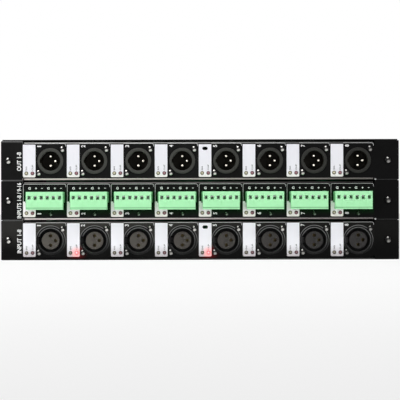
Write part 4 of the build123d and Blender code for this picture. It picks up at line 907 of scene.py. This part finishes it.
low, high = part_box("terminal_plug_1")
face, foot = low.y, low.z
middle_x = (low.x + high.x) / 2
poles = [middle_x + (k - (POLES - 1) / 2) * POLE_PITCH for k in range(POLES)]
entry_z = high.z - ENTRY_DOWN
nose_z = row_tops["terminal"] - NOSE_DOWN
clamp_y = face + (CAGE_FRONT + CAGE_BACK) / 2
cage_low, cage_high = entry_z - CAGE_DOWN, entry_z + CAGE_UP
nose_front = front + NOSE_LENGTH
ledge_z = foot + LEDGE_UP


def per_pole(low, high):
    """The same block at every pole, from its corners measured from the pole's middle."""
    blocks = [slab("tool", (x + low[0], *low[1:]), (x + high[0], *high[1:])) for x in poles]
    return joined("tools", blocks)


def rods(radius, low, high):
    profile = ((radius, low), (radius, high))
    return joined("rods", [turned("rod", (x, clamp_y, 0), profile, 2, 24) for x in poles])


plug = slab("terminal_block_1", low, (high.x, front - PLUG_GAP, high.z))
for side in (2, 0):
    round_edges(plug, side, PLUG_EDGE, 3, lambda middle: middle.y < face + MM)
nose = pad("nose", middle_x, nose_z, NOSE_HALF_X, NOSE_HALF_Z, front - 2 * PLUG_GAP, nose_front)
cut(plug, nose, operation="UNION")
entries = per_pole(
    (-ENTRY_HALF_X, face - MM, entry_z - ENTRY_HALF_Z),
    (ENTRY_HALF_X, face + CAGE_FRONT, entry_z + ENTRY_HALF_Z),
)
wells = per_pole(
    (-CAGE_HALF - GAP, face + CAGE_FRONT - GAP, cage_low - MM),
    (CAGE_HALF + GAP, face + CAGE_BACK + GAP, cage_high + 2 * GAP),
)
slots = per_pole(
    (-BLADE_OUT - GAP, face + CAGE_BACK, nose_z - BLADE_IN),
    (BLADE_IN, nose_front + MM, nose_z + BLADE_IN),
)
ledge = slab(
    "ledge", (low.x + GROOVE_WIDTH, face - MM, ledge_z),
    (high.x - GROOVE_WIDTH, face + LEDGE_DEPTH, ledge_z + LEDGE_WIDTH),
)
heads = rods(HEAD_R + 1.5 * GAP, foot - MM, foot + HEAD_UP + HEAD_H + GAP)
cut(plug, entries, wells, heads, rods(CLAMP_R + GAP, foot, cage_low), slots, ledge)
groove_low, groove_high = ledge_z + 2 * GROOVE_WIDTH, entry_z - ENTRY_HALF_Z - MM
grooves = []
for x in poles[1:]:
    left = x - (POLE_PITCH + GROOVE_WIDTH) / 2
    corner = (left + GROOVE_WIDTH, face + GROOVE_WIDTH / 2, groove_high)
    grooves.append(slab("groove", (left, face - MM, groove_low), corner))
cut(plug, joined("grooves", grooves))
soften(plug, PLUG_SOFT)

metalwork = []
inside = CAGE_HALF - CAGE_WALL
for x, lift in zip(poles, CAGE_LIFTS):
    sill, top = cage_low + lift, cage_high + lift
    cage = slab("cage", (x - CAGE_HALF, face + CAGE_FRONT, sill), (x + CAGE_HALF, face + CAGE_BACK, top))
    window_low = (x - inside, face, sill + 2 * CAGE_WALL)
    metalwork.append(cut(cage, slab("window", window_low, (x + inside, front, top - CAGE_WALL))))
head = ((HEAD_R - GAP, 0), (HEAD_R, GAP), (HEAD_R, HEAD_H))
shank = ((CLAMP_R, HEAD_H), (CLAMP_R, cage_low + MM - foot - HEAD_UP))
driver_high = (DRIVER_HALF, clamp_y + 2 * MM, foot + HEAD_UP + HEAD_H / 2)
screws = [turned("screw", (x, clamp_y, foot + HEAD_UP), head + shank, 2, 24) for x in poles]
metalwork += [
    cut(joined("screws", screws), per_pole((-DRIVER_HALF, clamp_y - 2 * MM, foot), driver_high)),
    per_pole(
        (-BLADE_OUT, face + CAGE_BACK - GAP, nose_z - BLADE_HALF),
        (-BLADE_IN, nose_front - MM, nose_z + BLADE_HALF),
    ),
]
clamps = joined("wire_clamps_1", metalwork)
smooth(clamps)

green = Finish("plug_green", 0.2)
cloud = green.noise(90, 3)
green.lay(cloud, (0.40, 0.86, 0.46), (0.44, 0.90, 0.50))
# Painted shade along the ledge across the plug's face.
ledge_shade = green.band(green.along(2), ledge_z - LEDGE_WIDTH, ledge_z + 2 * LEDGE_WIDTH)
green.lay(ledge_shade * 0.6, (0.16, 0.42, 0.2))
green.skin(cloud * 0.12 + 0.4, green.noise(2200), 0.015)
metal = speckled("clamp_metal", 0.5, 0.68, 0.3, 600, Metallic=1.0)
pairs = zip(repeated(plug, "terminal_block"), repeated(clamps, "wire_clamps"))
for channel, (block, steel) in enumerate(pairs, 1):
    fit(block, green, "terminal_green", f"terminal_plug_{channel}", body=f"plug_{channel}")
    fit(steel, metal, "clamp_metal", f"terminal_clamps_{channel}", body=f"plug_{channel}")
green = speckled("header_green", (0.17, 0.46, 0.22), (0.21, 0.52, 0.26), 0.42, 120, shine=0.2)
paint(green, "terminal_headers")
paint(solder, "terminal_header_pins")

# The screws on the fronts: cross-recessed pan heads in bright zinc, M3 through the ears, smaller ones at
# the round sockets and smaller still at the headers' lugs. Each stopped at a turn of its own.
SCREW_SIZES = {  # head radius and height, shank radius and length
    "panel_screws": mm(2.8, 1.9, 1.5, 6.0),
    "socket_screws": mm(2.45, 1.7, 1.2, 8.0),
    "lug_screws": mm(1.7, 1.2, 1.0, 8.0),
}
HEAD_SHAPE = ((1.0, 0.0), (1.0, 0.3), (0.95, 0.55), (0.84, 0.78), (0.66, 0.93), (0.42, 1.0))
RECESS_REACH, RECESS_WIDTH, RECESS_DEPTH = 0.72, 0.24, 0.7  # shares of the head's radius and height
RECESS_TAPER = 0.55
SCREW_LEAN, SCREW_SPREAD = 45, 10  # degrees
GLINTS = ((-0.15, 0.6, 0.42), (0.15, -0.5, 0.75))  # painted glints: aside, up and reach, in shares of the radius
EAR_SCREWS = mm(6.1, 9.2)  # from the front's left and right edges
LUG_X, LUG_DOWN = mm(23.3, 28.1)
random.seed(7)


def taper(piece, scale, centre, chosen):
    """Draw the chosen points of a piece in towards a centre."""
    change = bpy.ops.transform.resize
    edit_chosen(piece, "VERT", lambda point: chosen(point.co), change, value=scale, center_override=centre)


def pan_screw(name):
    """A screw at the origin, its head's underside on the XZ plane and looking towards -Y."""
    head_r, head_h, shank_r, length = SCREW_SIZES[name]
    shape = [(shank_r * 0.8, length), (shank_r, length - 0.5 * MM), (shank_r, 0)]
    shape += [(head_r * radius, -head_h * reach) for radius, reach in HEAD_SHAPE]
    screw = turned(name, (0, 0, 0), shape, sides=48)
    reach, half = head_r * RECESS_REACH, head_r * RECESS_WIDTH
    for half_x, half_z in ((reach, half), (half, reach)):
        arm = pad("arm", 0, 0, half_x, half_z, -2 * head_h, -head_h * (1 - RECESS_DEPTH))
        taper(arm, (RECESS_TAPER, 1, RECESS_TAPER), (0, 0, 0), lambda point: point.y > -head_h)
        cut(screw, arm)
    smooth(screw, 28)
    return screw


def screws_at(name, group, places):
    """Copies of a screw at their places, each turned about a lean by a little of its own.

    An attribute holds where glints are painted: above the middle and below it.
    """
    master = pan_screw(name)
    head_r = SCREW_SIZES[name][0]
    copies = []
    for x, z in places:
        twin = again(master, "screw")
        turn = math.radians(SCREW_LEAN + random.uniform(-SCREW_SPREAD, SCREW_SPREAD))
        twin.data.transform(Matrix.Rotation(turn, 4, "Y"))
        painted_glint = twin.data.attributes.new("painted_glint", "FLOAT", "POINT")
        for vertex, entry in zip(twin.data.vertices, painted_glint.data):
            for aside, up, reach in GLINTS:
                away = math.hypot(vertex.co.x / head_r - aside, vertex.co.z / head_r - up)
                entry.value = max(entry.value, 1 - away / reach)
        twin.data.transform(Matrix.Translation((x, front, z)))
        copies.append(twin)
    bpy.data.objects.remove(master)
    return joined(group, copies)


def plating(name, dark, bright):
    """Zinc, with painted glints where the attribute marks them, and painted shade towards the right and in
    the lowest screws.
    """
    metal = Finish(name, Metallic=1.0)
    foot = socket_z["input"] - SCREW_ASIDE + 3 * MM
    shade_right_and_low = metal.rise(0, cad_high.x * 0.4, cad_high.x) * 0.6 + metal.fall(2, foot, foot + MM) * 0.4
    painted_glint = metal.step(metal.from_mesh("painted_glint"), 0.1, 0.6)
    metal.lay(painted_glint * (1 - shade_right_and_low), dark, bright)
    cloud = metal.noise(900, 3)
    metal.skin(cloud * 0.15 + 0.2, cloud, strength=0.4)
    return metal


zinc = plating("bright_zinc", 0.012, (0.66, 0.65, 0.62))
# The lug screws' zinc, painted darker and green as the plugs' shade and green bounce.
zinc_in_green_shade = plating("zinc_in_green_shade", (0.012, 0.025, 0.012), (0.2, 0.26, 0.2))
ear_xs = (panel_left + EAR_SCREWS[0], panel_right - EAR_SCREWS[1])
ear_places = [(x, row_tops[row] - row_pitch / 2) for row in ROWS for x in ear_xs]
fit(screws_at("panel_screws", "ear_screws", ear_places), zinc, "bright_screw", "panel_screws")
for row, group in (("output", "male_socket_screws"), ("input", "female_socket_screws")):
    places = [
        (first_socket + channel_pitch * k + at, socket_z[row] + at)
        for k in range(CHANNELS) for at in (-SCREW_ASIDE, SCREW_ASIDE)
    ]
    fit(screws_at("socket_screws", group, places), zinc, "bright_screw", "socket_screws")
places = [(left + LUG_X, row_tops["terminal"] - LUG_DOWN) for left in channel_lefts]
fit(screws_at("lug_screws", "lug_screws", places), zinc_in_green_shade, "bright_screw", "socket_screws")

# The case: a top and a bottom cover with vents, two folded side plates and a rear panel, all in the same
# black powder coat, a little coarser than the fronts'. Black countersunk and pan screws close it.
coat = black_coat("case_coat", 0.010, 0.4, 1500)
coat.lay(coat.step(coat.noise(25, 4, (1, 0.3, 1)), 0.62, 0.8) * 0.35, 0.05)
# Painted highlight along the case's lower front edge, growing towards the right.
edge = coat.fall(2, cad_low.z + 0.9 * MM, cad_low.z + 1.3 * MM) * coat.fall(1, front + 3 * MM, front + 8 * MM)
coat.lay(edge * coat.rise(0, cad_low.x * 0.8, cad_high.x * 0.5), 0.1)
paint(coat, "top_cover", "bottom_cover", "side_plate_left", "side_plate_right", "rear_panel")
paint(speckled("black_zinc", 0.02, 0.05, 0.3, 800, Metallic=0.6), "case_screws")

# The multiway sockets on the rear panel: a plated steel flange and a D-shaped shell round a black
# insulator with 25 contact holes, held by two hexagon jack screws each.
REAR_ASIDE, REAR_DOWN = mm(62.0, 16.4)
REAR_ROWS = (("output", -1), ("terminal", -1), ("terminal", 1), ("input", -1))  # row and side
FLANGE_HALF_X, FLANGE_HALF_Z, FLANGE_T, FLANGE_CORNER, FLANGE_SOFT = mm(26.5, 6.25, 0.8, 0.8, 0.12)
SHELL_SIZE = mm(38.3, 7.9)
SHELL_WALL, SHELL_OUT, INSULATOR_OUT = mm(0.5, 6.0, 5.6)
BACK_HALF_X, BACK_HALF_Z = mm(20.5, 5.0)
D_LEAN = math.tan(math.radians(10))
CONTACT_ROWS = ((13, 1), (12, -1))
CONTACT_PITCH, CONTACT_ROW_GAP, CONTACT_SUNK = mm(2.77, 2.84, 0.3)
CONTACT_HOLE = mm((0.55, -5.0), (0.55, 0.2), (0.66, 0.5))
JACK_ASIDE, JACK_HOLE_R = mm(23.5, 1.45)
multiway_low, multiway_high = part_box("multiway_sockets")
flange_back = multiway_high.y - SHELL_OUT
x, z = -REAR_ASIDE, row_tops["output"] - REAR_DOWN


def d_block(name, width, height, near, far):
    """A block whose lower edge is drawn in to a D, with rounded corners."""
    block = pad(name, x, z, width / 2, height / 2, near, far)
    share = 1 - 2 * D_LEAN * height / width
    taper(block, (share, 1, 1), (x, 0, z), lambda point: point.z < z)
    round_edges(block, 1, height / 4)
    return block


flange = pad("rear_shell_1", x, z, FLANGE_HALF_X, FLANGE_HALF_Z, flange_back - FLANGE_T, flange_back)
round_edges(flange, 1, FLANGE_CORNER, 3)
d_shell = d_block("d_shell", *SHELL_SIZE, flange_back - FLANGE_T / 2, flange_back + SHELL_OUT)
cut(flange, d_shell, operation="UNION")
inside = [size - 2 * SHELL_WALL for size in SHELL_SIZE]
cut(flange, d_block("hollow", *inside, flange_back - 2 * MM, flange_back + SHELL_OUT + MM))
jacks = [(x + at, flange_back, z) for at in (-JACK_ASIDE, JACK_ASIDE)]
drilled(flange, jacks, ((JACK_HOLE_R, -2 * MM), (JACK_HOLE_R, 2 * MM)))
soften(flange, FLANGE_SOFT, 2)

insulator = d_block("rear_insulator_1", *inside, flange_back - 2 * MM, flange_back + INSULATOR_OUT)
back = pad("back", x, z, BACK_HALF_X, BACK_HALF_Z, multiway_low.y, flange_back - FLANGE_T)
cut(insulator, back, operation="UNION")
contact_y = flange_back + INSULATOR_OUT - CONTACT_SUNK
contacts = [
    (x + (k - (count - 1) / 2) * CONTACT_PITCH, contact_y, z + side * CONTACT_ROW_GAP / 2)
    for count, side in CONTACT_ROWS for k in range(count)
]
drilled(insulator, contacts, CONTACT_HOLE, 16)
smooth(insulator)

plate = speckled("shell_plate", (0.46, 0.45, 0.41), (0.66, 0.64, 0.58), 0.28, 300, Metallic=1.0)
black = speckled("insulator_black", 0.015, 0.03, 0.45, 500)
rear_shifts = [(side * REAR_ASIDE - x, 0, row_tops[row] - REAR_DOWN - z) for row, side in REAR_ROWS[1:]]
for twin in repeated(flange, "rear_shell", rear_shifts):
    fit(twin, plate, "shell_metal", "multiway_sockets")
for twin in repeated(insulator, "rear_insulator", rear_shifts):
    fit(twin, black, "socket_black", "multiway_sockets")
paint(plate, "jackscrews", "backplane_standoffs")

# Inside: a green glass-fibre card behind each row with its chips and capacitors, slid into black rails and
# plugged by grey edge connectors into a backplane that stands on posts in front of the rear panel.
fibre = Finish("glass_fibre", 0.3)
weave = fibre.noise(1800, 2, (1, 0.15, 1)) * fibre.noise(1800, 2, (0.15, 1, 1))
fibre.lay(weave, (0.008, 0.08, 0.03), (0.02, 0.17, 0.07))
fibre.skin(fibre.noise(60) * 0.15 + 0.3, weave, strength=0.4)
paint(fibre, "output_board", "terminal_board", "input_board", "backplane_board")
paint(speckled("guide_nylon", 0.02, 0.035, 0.5, 300), "card_guides")
paint(speckled("holder_nylon", 0.015, 0.03, 0.45, 300), "led_holders")
paint(speckled("connector_plastic", 0.14, 0.2, 0.45, 200), "board_edge_plugs")
paint(speckled("connector_body", 0.11, 0.16, 0.45, 200), "backplane_sockets")
paint(speckled("chip_resin", 0.02, 0.035, 0.5, 900), "board_chips")
paint(speckled("can_metal", 0.45, 0.62, 0.3, 300, Metallic=1.0), "board_capacitors")

low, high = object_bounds()
